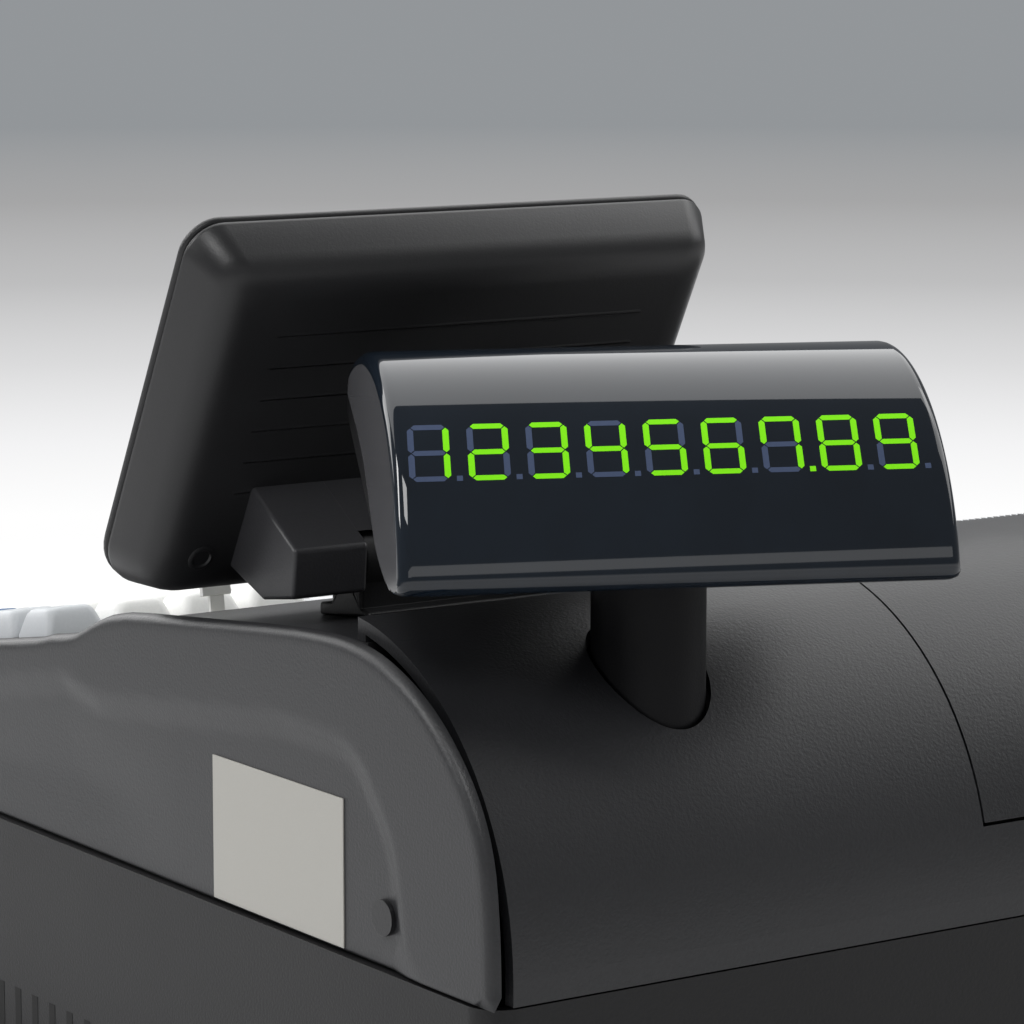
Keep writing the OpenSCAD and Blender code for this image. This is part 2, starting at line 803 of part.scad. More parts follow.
module post_bush() {
    top = post_z - post_len + collar_len + 4;
    color(plastic_dark) difference() {
        union() {
            rod_z(case_z + wall, top, post_x, post_y, post_r + 6);
            rod_z(case_z + wall, case_z + wall + 4, post_x, post_y, post_r + 12);
        }
        rod_z(post_z - post_len - 3 - post_drop, top + 1, post_x, post_y, post_r + 3 + running);
    }
}

// ---------- printer ----------

module printer_chassis() {
    front = cover_front + 6;
    rear = hinge_y - hinge_sweep - 1;
    color(steel) {
        box([plate_left, front, bay_floor], [plate_right, rear, bay_floor + plate_t]);
        for (x = [plate_left, plate_right - plate_t]) difference() {
            union() {
                intersection() {
                    dome(x, x + plate_t, cover_t + 4);
                    box([x, front, bay_floor], [x + plate_t, rear, 400]);
                }
                box([x, front, bay_floor], [x + plate_t, rear, dome_z + 1]);
                box([x, rear - 8, hinge_z - 4], [x + plate_t, hinge_y, hinge_z + 4]);
                rod_x(x, x + plate_t, hinge_y, hinge_z, 4.5);
            }
            rod_x(x - 1, x + plate_t + 1, hinge_y, hinge_z, hinge_pin_r + running);
        }
        difference() {
            box([roll_x - roll_w / 2 - 3, roll_y - roll_r - 4, bay_floor + plate_t - eps],
                [roll_x + roll_w / 2 + 3, roll_y + roll_r + 4, roll_z - 6]);
            rod_x(roll_x - roll_w / 2 - 0.5, roll_x + roll_w / 2 + 0.5, roll_y, roll_z, roll_r + clear);
        }
        for (x = [roll_x - platen_len / 2 - 6, roll_x + platen_len / 2 + 3]) difference() {
            box([x, platen_y - 8, bay_floor + plate_t - eps], [x + 3, head_y + 3, platen_z + 8]);
            rod_x(x - 1, x + 4, platen_y, platen_z, platen_shaft_r + running);
        }
    }
}

module print_head() {
    reach = platen_len / 2 + 3;
    color("dimgray") box([roll_x - reach, head_y, platen_z - 12], [roll_x + reach, head_y + 3, platen_z + 8]);
}

module feed_motor() {
    x = roll_x + platen_len / 2 + 6;
    color(steel) difference() {
        rod_x(x, x + 16, platen_y, platen_z, 12);
        rod_x(x - 1, x + 12, platen_y, platen_z, platen_shaft_r + running);
    }
}

module platen_roller() {
    color("black") {
        rod_x(roll_x - platen_len / 2, roll_x + platen_len / 2, platen_y, platen_z, platen_r);
        rod_x(roll_x - platen_len / 2 - 6, roll_x + platen_len / 2 + 15, platen_y, platen_z, platen_shaft_r);
    }
}

module paper_roll() {
    color("white") difference() {
        rod_x(roll_x - roll_w / 2, roll_x + roll_w / 2, roll_y, roll_z, roll_r);
        rod_x(roll_x - roll_w / 2 - 1, roll_x + roll_w / 2 + 1, roll_y, roll_z, 6);
    }
}

module printer_cover() {
    foot_z = top_line(cover_front) + 0.4;
    ear_t = 4;
    color(plastic) {
        difference() {
            intersection() {
                dome_skin(cover_left, cover_x, cover_t);
                box([cover_left, cover_front, cover_z], [cover_x, 300, 400]);
            }
            box([roll_x - 32, head_y - 4, platen_z], [roll_x + 32, head_y + 2, platen_z + 100]);
        }
        for (x = [cover_left, cover_x - cover_t]) intersection() {
            dome(x, x + cover_t, cover_t / 2);
            yz(x, x + cover_t) polygon([
                [cover_front, foot_z], [cover_front, 400], [crease_y + 40, 400],
                [crease_y + 40, top_line(crease_y + 40) + 0.4]
            ]);
        }
        intersection() {
            dome(cover_left, cover_x, cover_t / 2);
            box([cover_left, cover_front, foot_z], [cover_x, cover_front + cover_t, 400]);
        }
        for (side = [0, 1]) {
            x = side == 0 ? plate_left + plate_t + clear : plate_right - plate_t - clear - ear_t;
            pin = side == 0 ? plate_left + 0.2 : x;
            rod_x(x, x + ear_t, hinge_y, hinge_z, 4.5);
            intersection() {
                dome(x, x + ear_t, cover_t / 2);
                box([x, hinge_y - 4.5, hinge_z], [x + ear_t, hinge_y + 4.5, hinge_z + 24]);
            }
            rod_x(pin, pin + ear_t + clear + plate_t - 0.2, hinge_y, hinge_z, hinge_pin_r);
        }
    }
}

// ---------- electrics ----------

module main_board() {
    z = case_z + 11;
    color("darkgreen") box([-60, -155, z], [160, 45, z + 1.6]);
    color("dimgray") {
        box([-40, -130, z + 1.6 - eps], [-10, -100, z + 5]);
        box([20, -60, z + 1.6 - eps], [60, -20, z + 4]);
        box([120, -150, z + 1.6 - eps], [150, -90, z + 16]);
    }
}

module transformer() {
    z = case_z + wall;
    color(steel) {
        box([-152, 105, z], [-92, 155, z + 2]);
        box([-147, 110, z + 1], [-97, 150, z + 27]);
    }
}

module power_inlet() {
    color(plastic_dark) {
        difference() {
            union() {
                box([inlet_x - 17, case_rear, inlet_z - 12], [inlet_x + 17, case_rear + 2, inlet_z + 12]);
                box([inlet_x - 12.8, case_rear - 26, inlet_z - 8.8],
                    [inlet_x + 12.8, case_rear + eps, inlet_z + 8.8]);
            }
            box([inlet_x - 11, case_rear - 18, inlet_z - 7], [inlet_x + 11, case_rear + 3, inlet_z + 7]);
        }
        for (x = [-7, 0, 7])
            rod_y(case_rear - 18 - eps, case_rear - 4, inlet_x + x, inlet_z + (x == 0 ? 3 : -1), 1.2);
    }
}

rubber_feet();
drawer_cabinet();
drawer_solenoid();
drawer_latch();
lower_case();
upper_case();
side_panel(1);  // side_panel_right
side_panel(-1);  // side_panel_left
rear_cover();
case_screws();
rating_plate();
key_membrane();
keyboard_board();
mode_lock_body();
mode_lock_barrel();
mode_key();
display_neck();
tilt_pin();
operator_shell();
operator_bezel();
operator_window();
operator_lcd();
post_bush();
post_collar();
display_post();
customer_shell();
customer_window();
customer_digits();
printer_chassis();
print_head();
feed_motor();
platen_roller();
paper_roll();
printer_cover();
main_board();
transformer();
power_inlet();
drawer_box();
drawer_runners();
drawer_front();
drawer_lock();
money_tray();
note_clip(1);  // note_clip_1
note_clip(2);  // note_clip_2
note_clip(3);  // note_clip_3
note_clip(4);  // note_clip_4
key("key_7");  // key_7
key("key_8");  // key_8
key("key_9");  // key_9
key("key_multiply");  // key_multiply
key("key_4");  // key_4
key("key_5");  // key_5
key("key_6");  // key_6
key("key_clear");  // key_clear
key("key_1");  // key_1
key("key_2");  // key_2
key("key_3");  // key_3
key("key_0");  // key_0
key("key_00");  // key_00
key("key_cash");  // key_cash
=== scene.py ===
import math

import bpy
import bmesh
from mathutils import Matrix, Vector
from mathutils.geometry import delaunay_2d_cdt


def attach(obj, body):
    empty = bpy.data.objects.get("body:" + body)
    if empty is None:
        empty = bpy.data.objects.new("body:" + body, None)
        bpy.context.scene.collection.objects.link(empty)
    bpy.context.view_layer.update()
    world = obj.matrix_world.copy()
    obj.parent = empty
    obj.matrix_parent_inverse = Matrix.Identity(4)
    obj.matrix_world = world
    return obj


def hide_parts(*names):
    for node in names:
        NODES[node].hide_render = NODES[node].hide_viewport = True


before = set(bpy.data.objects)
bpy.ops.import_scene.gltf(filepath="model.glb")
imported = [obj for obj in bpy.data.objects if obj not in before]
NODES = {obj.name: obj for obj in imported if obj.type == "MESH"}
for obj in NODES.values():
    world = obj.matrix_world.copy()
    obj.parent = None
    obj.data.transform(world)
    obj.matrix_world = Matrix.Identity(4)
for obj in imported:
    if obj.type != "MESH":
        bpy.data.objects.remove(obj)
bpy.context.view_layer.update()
MM = 0.001

# ---------- frames of the CAD, in millimetres ----------
DECK_SLOPE = math.radians(9.65)
POD_TURN = math.radians(23.2)
SCREEN_LEAN = math.radians(27.8)
POST = Vector((118, 165, 232))
DECK = Matrix.Translation((0, 23.5, 224.8)) @ Matrix.Rotation(DECK_SLOPE, 4, "X")
POD = Matrix.Translation(POST) @ Matrix.Rotation(-POD_TURN, 4, "Z")
SCREEN_X = 118
SCREEN = Matrix.Translation((SCREEN_X, 45, 241.7)) @ Matrix.Rotation(-SCREEN_LEAN, 4, "X")
TILT = (81, 249)        # the operator display's pin, in Y-Z
CASE = Matrix.Identity(4)

CAMERA = Vector((631.4, 867.8, 398.8))
AZIMUTH, ELEVATION = math.radians(34.2), math.radians(8.56)
FOCAL_PIXELS, IMAGE_PIXELS, SENSOR = 4071, 1024, 36

# bevels start at edges sharper than this
PIECE_EDGE = math.radians(35)
CAD_EDGE = math.radians(40)


# ---------- materials ----------
def tree(name):
    """A new material with one Principled shader."""
    m = bpy.data.materials.new(name)
    m.use_nodes = True
    nt = m.node_tree
    nt.nodes.clear()
    out = nt.nodes.new("ShaderNodeOutputMaterial")
    b = nt.nodes.new("ShaderNodeBsdfPrincipled")
    nt.links.new(b.outputs[0], out.inputs[0])
    return m, nt, b


def noise(nt, scale, detail, rough, stretch=None):
    """Noise in the object's own coordinates, stretched where a finish is brushed."""
    tc = nt.nodes.new("ShaderNodeTexCoord")
    mp = nt.nodes.new("ShaderNodeMapping")
    if stretch:
        mp.inputs["Scale"].default_value = stretch
    n = nt.nodes.new("ShaderNodeTexNoise")
    n.inputs["Scale"].default_value = scale
    n.inputs["Detail"].default_value = detail
    n.inputs["Roughness"].default_value = rough
    nt.links.new(tc.outputs["Object"], mp.inputs["Vector"])
    nt.links.new(mp.outputs[0], n.inputs["Vector"])
    return n


def ramp(nt, src, lo, hi, a, b):
    """Colour a up to lo, colour b from hi on."""
    r = nt.nodes.new("ShaderNodeValToRGB")
    r.color_ramp.elements[0].position = lo
    r.color_ramp.elements[1].position = hi
    r.color_ramp.elements[0].color = (*a, 1)
    r.color_ramp.elements[1].color = (*b, 1)
    nt.links.new(src, r.inputs[0])
    return r


def spread(nt, src, a, b):
    """A value from 0 to 1 carried to the range a to b."""
    r = nt.nodes.new("ShaderNodeMapRange")
    r.inputs["To Min"].default_value = a
    r.inputs["To Max"].default_value = b
    nt.links.new(src, r.inputs["Value"])
    return r


def material(name, colour, rough, vary=0.12, scale=900, bump=0.1, depth=0.0002, metal=0.0,
             spec=0.5, stretch=None, emit=0.0, rough_vary=0.08, ior=1.5):
    """Colour and roughness varied by a fine grain and slow patches; the grain also gives the bump."""
    m, nt, b = tree(name)
    fine = noise(nt, scale, 3, 0.6, stretch)
    big = noise(nt, 14, 4, 0.55)
    lo = tuple(c * (1 - vary) for c in colour)
    hi = tuple(min(1, c * (1 + vary)) for c in colour)
    mixed = nt.nodes.new("ShaderNodeMath")
    mixed.operation = "MULTIPLY_ADD"
    mixed.inputs[1].default_value = 0.55
    nt.links.new(fine.outputs["Fac"], mixed.inputs[0])
    half = nt.nodes.new("ShaderNodeMath")
    half.operation = "MULTIPLY"
    half.inputs[1].default_value = 0.45
    nt.links.new(big.outputs["Fac"], half.inputs[0])
    nt.links.new(half.outputs[0], mixed.inputs[2])
    r = ramp(nt, mixed.outputs[0], 0.3, 0.72, lo, hi)
    nt.links.new(r.outputs["Color"], b.inputs["Base Color"])
    rr = spread(nt, mixed.outputs[0], max(0.02, rough - rough_vary), min(1, rough + rough_vary))
    nt.links.new(rr.outputs[0], b.inputs["Roughness"])
    if bump:
        bp = nt.nodes.new("ShaderNodeBump")
        bp.inputs["Strength"].default_value = bump
        bp.inputs["Distance"].default_value = depth
        nt.links.new(fine.outputs["Fac"], bp.inputs["Height"])
        nt.links.new(bp.outputs[0], b.inputs["Normal"])
    b.inputs["Metallic"].default_value = metal
    b.inputs["Specular IOR Level"].default_value = spec
    b.inputs["IOR"].default_value = ior
    if emit:
        b.inputs["Emission Color"].default_value = (*colour, 1)
        b.inputs["Emission Strength"].default_value = emit
    return m


M = {
    "case": material("grained_abs", (0.0145, 0.0148, 0.0165), 0.43, 0.32, 1300, 0.4, 0.00025),
    # lower case: darker and duller than the upper case's plastic, painted shade for the shadow it lies in
    # under the seam
    "lower": material("lower_case_abs_painted_shade", (0.006, 0.006, 0.0065), 0.5, 0.3, 1300, 0.4, 0.00025, spec=0.35),
    # display post: near black with little sheen, painted shade for its shadow and the dark dome it mirrors
    "post": material("post_abs_painted_shade", (0.0035, 0.0035, 0.0042), 0.5, 0.2, 1700, 0.25, 0.0002, spec=0.15),
    # operator arms: twice as light as the case plastic, painted light for the light falling on them
    "arm": material("arm_abs_painted_light", (0.030, 0.030, 0.033), 0.4, 0.2, 1600, 0.28, 0.0002),
    "dark": material("dark_abs", (0.008, 0.008, 0.009), 0.44, 0.2, 1700, 0.3, 0.0002),
    "smooth": material("satin_abs", (0.012, 0.012, 0.013), 0.4, 0.2, 1900, 0.2, 0.00016),
    "cover": material("smoked_acrylic", (0.006, 0.010, 0.016), 0.035, 0.25, 60, 0.0, 0.0001,
                      ior=1.52, rough_vary=0.015),
    # cover ends: a satin ground edge of the smoked acrylic, made far lighter than the cover, partly painted
    # light from the left
    "end": material("acrylic_end_satin_and_painted_light", (0.075, 0.075, 0.08), 0.2, 0.15, 900, 0.1, 0.0001, rough_vary=0.04),
    "key": material("key_caps", (0.84, 0.84, 0.82), 0.48, 0.05, 1500, 0.14, 0.00015),
    "key_grey": material("grey_key_caps", (0.50, 0.52, 0.54), 0.48, 0.06, 1500, 0.14, 0.00015),
    "pad_upper": material("upper_pads", (0.45, 0.50, 0.55), 0.42, 0.06, 2000, 0.12, 0.0001),
    "key_blue": material("blue_key_caps", (0.035, 0.10, 0.22), 0.46, 0.08, 1500, 0.14, 0.00015),
    "membrane": material("key_overlay", (0.62, 0.63, 0.64), 0.4, 0.05, 2200, 0.12, 0.0001),
    "paint": material("textured_paint", (0.028, 0.028, 0.03), 0.5, 0.2, 1100, 0.5, 0.0003),
    "zinc": material("zinc_plate", (0.5, 0.51, 0.52), 0.36, 0.12, 300, 0.06, 0.0001,
                     metal=1.0, stretch=(1, 12, 1)),
    "bright": material("nickel", (0.66, 0.65, 0.61), 0.2, 0.08, 500, 0.05, 0.00008,
                       metal=1.0, stretch=(1, 1, 6)),
    "key_metal": material("plated_key", (0.75, 0.75, 0.73), 0.3, 0.06, 500, 0.05, 0.00008, metal=0.35),
    "rubber": material("rubber", (0.014, 0.014, 0.014), 0.75, 0.2, 800, 0.3, 0.0002),
    "board": material("circuit_board", (0.02, 0.11, 0.045), 0.4, 0.35, 160, 0.2, 0.0002),
    "label": material("silver_label", (0.36, 0.35, 0.32), 0.42, 0.04, 2000, 0.05, 0.00006),
    "paper": material("paper", (0.86, 0.86, 0.83), 0.85, 0.03, 1200, 0.1, 0.0001),
    "nylon": material("nylon", (0.74, 0.74, 0.71), 0.4, 0.05, 700, 0.08, 0.0001),
    "ink": material("dark_ink", (0.02, 0.02, 0.024), 0.5, 0.1, 1500, 0.0),
    "ink_pale": material("pale_ink", (0.62, 0.62, 0.6), 0.5, 0.05, 1500, 0.0),
    "lit": material("segments_lit", (0.150, 0.55, 0.004), 0.2, 0.04, 1500, 0.0, emit=0.62),
    # segments that are off still glow faintly by their own emission: painted glow
    "unlit": material("segments_off_painted_glow", (0.045, 0.062, 0.112), 0.2, 0.12, 1200, 0.0, emit=0.32),
    "lcd": material("lcd_glass", (0.30, 0.36, 0.24), 0.22, 0.05, 400, 0.0),
    "window": material("clear_window", (0.02, 0.022, 0.026), 0.05, 0.1, 300, 0.0),
    "gap": material("shadow_gap", (0.004, 0.004, 0.004), 0.8, 0.2, 900, 0.1),
    "brass": material("brass_contacts", (0.6, 0.42, 0.15), 0.3, 0.1, 500, 0.05, metal=1.0),
}


# ---------- building ----------
def put(name, verts, faces, body, slot, mat, at=CASE, smooth=35, bevel=0.0, segs=3):
    """A mesh piece from points in millimetres in the frame `at`, riding on a body."""
    me = bpy.data.meshes.new(name)
    me.from_pydata([(at @ Vector(v)) * MM for v in verts], [], [tuple(f) for f in faces])
    bm = bmesh.new()
    bm.from_mesh(me)
    bmesh.ops.remove_doubles(bm, verts=bm.verts, dist=1e-7)
    bmesh.ops.recalc_face_normals(bm, faces=bm.faces)
    bm.to_mesh(me)
    bm.free()
    me.validate()
    ob = bpy.data.objects.new(name, me)
    bpy.context.scene.collection.objects.link(ob)
    me.materials.append(M[mat])
    finish_edges(ob, bevel, segs, smooth)
    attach(ob, body)
    return ob


def finish_edges(ob, bevel, segs, smooth):
    """Bevelled edges, or without a bevel smooth shading up to an angle."""
    for p in ob.data.polygons:
        p.use_smooth = True
    if bevel:
        b = ob.modifiers.new("edges", "BEVEL")
        b.width = bevel * MM
        b.segments = segs
        b.limit_method = "ANGLE"
        b.angle_limit = PIECE_EDGE
        b.harden_normals = False
        b.miter_outer = "MITER_ARC"
    ob.data.set_sharp_from_angle(angle=math.radians(180 if bevel else smooth))
    if bevel:
        w = ob.modifiers.new("shading", "WEIGHTED_NORMAL")
        w.keep_sharp = True
        w.weight = 80


def loft(rings, cap0=True, cap1=True):
    """Rings of equally many points, joined one to the next."""
    n = len(rings[0])
    verts = [p for r in rings for p in r]
    faces = []
    for k in range(len(rings) - 1):
        for i in range(n):
            j = (i + 1) % n
            faces.append((k * n + i, k * n + j, (k + 1) * n + j, (k + 1) * n + i))
    if cap0:
        faces.append(tuple(reversed(range(n))))
    if cap1:
        faces.append(tuple((len(rings) - 1) * n + i for i in range(n)))
    return verts, faces


def corner_box(w, h, radii, n=10):
    """A rounded rectangle round the origin; radii from the top right, anticlockwise."""
    pts = []
    for (sx, sy), r, a0 in zip(((1, 1), (-1, 1), (-1, -1), (1, -1)), radii, (0, 90, 180, 270)):
        cx, cy = sx * (w / 2 - r), sy * (h / 2 - r)
        for i in range(n + 1):
            a = math.radians(a0 + 90 * i / n)
            pts.append((cx + r * math.cos(a), cy + r * math.sin(a)))
    return pts


def prism(outline, x0, x1):
    """Outline in Y-Z carried from x0 to x1."""
    return loft([[(x0, y, z) for y, z in outline], [(x1, y, z) for y, z in outline]])


def slab(cx, cy, cz, sx, sy, sz):
    """A thin block round its centre, for slits and marks."""
    v = [(cx + i * sx / 2, cy + j * sy / 2, cz + k * sz / 2)
         for i in (-1, 1) for j in (-1, 1) for k in (-1, 1)]
    f = [(0, 1, 3, 2), (4, 6, 7, 5), (0, 4, 5, 1), (2, 3, 7, 6), (0, 2, 6, 4), (1, 5, 7, 3)]
    return v, f


def merged(parts):
    """Several (points, faces) as one."""
    verts, faces = [], []
    for v, f in parts:
        o = len(verts)
        verts += v
        faces += [tuple(i + o for i in g) for g in f]
    return verts, faces


def turned(profile, n=48, centre=(0, 0), caps=True):
    """Points (radius, height) turned about an upright axis."""
    cx, cy = centre
    angles = [2 * math.pi * i / n for i in range(n)]
    rings = [[(cx + r * math.cos(a), cy + r * math.sin(a), z) for a in angles] for r, z in profile]
    return loft(rings, caps, caps)


def lettering(name, text, size, at, body, slot, mat, thick):
    """Flat letters lying on the plane z = 0 of the frame `at`, in millimetres."""
    cu = bpy.data.curves.new(name, "FONT")
    cu.body = text
    cu.size = size
    cu.align_x = "CENTER"
    cu.align_y = "CENTER"
    cu.extrude = thick / 2
    cu.resolution_u = 6
    tmp = bpy.data.objects.new(name + "_curve", cu)
    bpy.context.scene.collection.objects.link(tmp)
    bpy.context.view_layer.update()
    me = bpy.data.meshes.new_from_object(tmp.evaluated_get(bpy.context.evaluated_depsgraph_get()))
    bpy.data.objects.remove(tmp)
    verts = [tuple(v.co) for v in me.vertices]
    faces = [tuple(p.vertices) for p in me.polygons]
    bpy.data.meshes.remove(me)
    put(name, verts, faces, body, slot, mat, at=at @ Matrix.Translation((0, 0, thick / 2)), smooth=30)


def dress(node, mat, bevel):
    """A CAD node's material, with its edges softened."""
    ob = NODES[node]
    ob.data.materials.clear()
    ob.data.materials.append(M[mat])
    w = ob.modifiers.new("weld", "WELD")
    w.merge_threshold = 1e-6
    if bevel:
        b = ob.modifiers.new("edges", "BEVEL")
        b.width = bevel * MM
        b.segments = 2
        b.limit_method = "ANGLE"
        b.angle_limit = CAD_EDGE
        b.miter_outer = "MITER_ARC"
    for p in ob.data.polygons:
        p.use_smooth = True
    n = ob.modifiers.new("shading", "WEIGHTED_NORMAL")
    n.weight = 80
    n.keep_sharp = False


# ---------- the parts whose CAD shape stays ----------
# node: (material, bevel in millimetres)
DRESS = {
    "rubber_feet": ("rubber", 0.8), "drawer_cabinet": ("paint", 0.4), "drawer_solenoid": ("zinc", 0.3),
    "drawer_latch": ("zinc", 0.3), "lower_case": ("lower", 0.7), "upper_case": ("case", 0.6),
    "side_panel_right": ("case", 0.8), "side_panel_left": ("case", 0.8), "rear_cover": ("case", 0.5),
    "case_screws": ("dark", 0.3), "rating_plate": ("label", 0.1), "key_membrane": ("membrane", 0.2),
    "keyboard_board": ("board", 0.2), "mode_lock_body": ("bright", 0.3), "mode_lock_barrel": ("bright", 0.2),
    "mode_key": ("key_metal", 0.2), "display_neck": ("dark", 1.0), "tilt_pin": ("zinc", 0.2),
    "operator_shell": ("smooth", 0.0), "operator_bezel": ("dark", 0.6), "operator_window": ("window", 0.2),
    "operator_lcd": ("board", 0.2), "post_bush": ("dark", 0.4), "post_collar": ("nylon", 0.3),
    "display_post": ("post", 0.4), "customer_shell": ("dark", 1.0), "customer_window": ("cover", 1.0),
    "customer_digits": ("board", 0.2), "printer_chassis": ("zinc", 0.3), "print_head": ("dark", 0.3),
    "feed_motor": ("zinc", 0.4), "platen_roller": ("rubber", 0.3), "paper_roll": ("paper", 0.3),
    "printer_cover": ("case", 0.5), "main_board": ("board", 0.2), "transformer": ("zinc", 0.5),
    "power_inlet": ("dark", 0.3), "drawer_box": ("zinc", 0.4), "drawer_runners": ("nylon", 0.5),
    "drawer_front": ("paint", 1.2), "drawer_lock": ("bright", 0.3), "money_tray": ("dark", 0.8),
}
for node, (mat, bevel) in DRESS.items():
    dress(node, mat, bevel)
for i in range(1, 5):
    dress(f"note_clip_{i}", "zinc", 0.3)
for node in NODES:
    if node.startswith("key_") and node != "key_membrane":
        dress(node, "key", 0.6)

# ---------- camera ----------
cam_data = bpy.data.cameras.new("camera")
cam = bpy.data.objects.new("camera", cam_data)
bpy.context.scene.collection.objects.link(cam)
bpy.context.scene.camera = cam
cam.location = CAMERA * MM
forward = Vector((-math.sin(AZIMUTH) * math.cos(ELEVATION), -math.cos(AZIMUTH) * math.cos(ELEVATION),
                  -math.sin(ELEVATION)))
cam.rotation_mode = "QUATERNION"
cam.rotation_quaternion = forward.to_track_quat("-Z", "Y")
cam_data.sensor_width = SENSOR
cam_data.lens = FOCAL_PIXELS / IMAGE_PIXELS * SENSOR
cam_data.clip_start, cam_data.clip_end = 0.05, 60


# ---------- stage and light ----------
def floor():
    """A pale disc that takes shadows near the object; farther out it looks white, then grey."""
    radius, sides = 9000, 96
    angles = [i * math.pi / (sides / 2) for i in range(sides)]
    ring = [(radius * math.cos(a), radius * math.sin(a), 0) for a in angles]
    me = bpy.data.meshes.new("floor")
    me.from_pydata([Vector(p) * MM for p in ring], [], [tuple(range(sides))])
    ob = bpy.data.objects.new("floor", me)
    bpy.context.scene.collection.objects.link(ob)
    m = bpy.data.materials.new("floor_pale")
    m.use_nodes = True
    nt = m.node_tree
    nt.nodes.clear()
    out = nt.nodes.new("ShaderNodeOutputMaterial")
    tc = nt.nodes.new("ShaderNodeTexCoord")
    ln = nt.nodes.new("ShaderNodeVectorMath")
    ln.operation = "LENGTH"
    nt.links.new(tc.outputs["Object"], ln.inputs[0])
    far = nt.nodes.new("ShaderNodeMapRange")
    far.inputs["From Min"].default_value = 1.6
    far.inputs["From Max"].default_value = 6.2
    nt.links.new(ln.outputs["Value"], far.inputs["Value"])
    tone = nt.nodes.new("ShaderNodeValToRGB")
    els = tone.color_ramp.elements
    els[0].position, els[0].color = 0.0, (1, 1, 1, 1)
    els[1].position, els[1].color = 1.0, (0.29, 0.305, 0.32, 1)
    for p, c in ((0.075, 0.90), (0.19, 0.71), (0.354, 0.515), (0.607, 0.38)):
        e = els.new(p)
        e.color = (c, c, c * 1.01, 1)
    nt.links.new(far.outputs[0], tone.inputs[0])
    glow = nt.nodes.new("ShaderNodeEmission")
    nt.links.new(tone.outputs[0], glow.inputs[0])
    near = nt.nodes.new("ShaderNodeMapRange")
    near.inputs["From Min"].default_value = 0.5
    near.inputs["From Max"].default_value = 1.5
    nt.links.new(ln.outputs["Value"], near.inputs["Value"])
    n = nt.nodes.new("ShaderNodeTexNoise")
    n.inputs["Scale"].default_value = 30
    pale = nt.nodes.new("ShaderNodeValToRGB")
    pale.color_ramp.elements[0].color = (0.80, 0.80, 0.805, 1)
    pale.color_ramp.elements[1].color = (0.83, 0.83, 0.835, 1)
    nt.links.new(n.outputs["Fac"], pale.inputs[0])
    dif = nt.nodes.new("ShaderNodeBsdfDiffuse")
    nt.links.new(pale.outputs[0], dif.inputs[0])
    mix = nt.nodes.new("ShaderNodeMixShader")
    nt.links.new(near.outputs[0], mix.inputs[0])
    nt.links.new(dif.outputs[0], mix.inputs[1])
    nt.links.new(glow.outputs[0], mix.inputs[2])
    lp = nt.nodes.new("ShaderNodeLightPath")
    seen = nt.nodes.new("ShaderNodeMath")
    seen.operation = "MAXIMUM"
    nt.links.new(lp.outputs["Is Camera Ray"], seen.inputs[0])
    nt.links.new(lp.outputs["Is Glossy Ray"], seen.inputs[1])
    seen2 = nt.nodes.new("ShaderNodeMath")
    seen2.operation = "MAXIMUM"
    nt.links.new(seen.outputs[0], seen2.inputs[0])
    nt.links.new(lp.outputs["Is Transmission Ray"], seen2.inputs[1])
    final = nt.nodes.new("ShaderNodeMixShader")
    nt.links.new(seen2.outputs[0], final.inputs[0])
    nt.links.new(dif.outputs[0], final.inputs[1])
    nt.links.new(mix.outputs[0], final.inputs[2])
    nt.links.new(final.outputs[0], out.inputs[0])
    me.materials.append(m)


def sky():
    """Even pale light, and the grey that the camera sees above the floor."""
    w = bpy.data.worlds.new("studio")
    bpy.context.scene.world = w
    w.use_nodes = True
    nt = w.node_tree
    nt.nodes.clear()
    out = nt.nodes.new("ShaderNodeOutputWorld")
    amb = nt.nodes.new("ShaderNodeBackground")
    amb.inputs[0].default_value = (0.95, 0.97, 1, 1)
    amb.inputs[1].default_value = 0.22
    seen = nt.nodes.new("ShaderNodeBackground")
    seen.inputs[0].default_value = (0.29, 0.305, 0.32, 1)
    seen.inputs[1].default_value = 1.0
    lp = nt.nodes.new("ShaderNodeLightPath")
    mix = nt.nodes.new("ShaderNodeMixShader")
    nt.links.new(lp.outputs["Is Camera Ray"], mix.inputs[0])
    nt.links.new(amb.outputs[0], mix.inputs[1])
    nt.links.new(seen.outputs[0], mix.inputs[2])
    nt.links.new(mix.outputs[0], out.inputs[0])


def lamp(name, at, aim, size, power, turn=None):
    """A soft box in metres, aimed at a point, or turned as given."""
    li = bpy.data.lights.new(name, "AREA")
    li.shape = "RECTANGLE"
    li.size, li.size_y = size
    li.energy = power
    ob = bpy.data.objects.new(name, li)
    bpy.context.scene.collection.objects.link(ob)
    ob.location = at
    d = Vector(aim) - Vector(at)
    ob.rotation_mode = "QUATERNION"
    ob.rotation_quaternion = d.to_track_quat("-Z", "Y") if turn is None else turn
    ob.visible_camera = False


floor()
sky()
# the overhead box is square to the customer display and lies on the operator's side of it
across = Vector((math.cos(-POD_TURN), math.sin(-POD_TURN), 0))
back = Vector((-math.sin(POD_TURN), -math.cos(POD_TURN), 0))
front_edge = Vector((0.118, 0.165, 1.5)) + back * 0.34
box_w, box_d = 3.0, 2.6
square = Matrix((across, -back, Vector((0, 0, 1)))).transposed().to_quaternion()
lamp("overhead", front_edge + back * (box_d / 2), (0, 0, 0), (box_w, box_d), 46, turn=square)
lamp("left_strip", (1.7, -0.6, 1.25), (0.18, 0.165, 0.28), (0.3, 0.9), 13)
lamp("left_high", (1.24, 0.89, 1.72), (0.118, 0.165, 0.232), (0.7, 0.7), 13)
lamp("right_side", (-1.82, 0.49, 1.5), (0.05, 0.1, 0.25), (1.6, 1.6), 17)
lamp("operator_side", (0.5, -1.9, 1.0), (0, 0, 0.2), (1.6, 0.9), 16)
lamp("front_strip", (0.557, 2.23, 0.875), (0.118, 0.165, 0.25), (3.0, 0.19), 2)

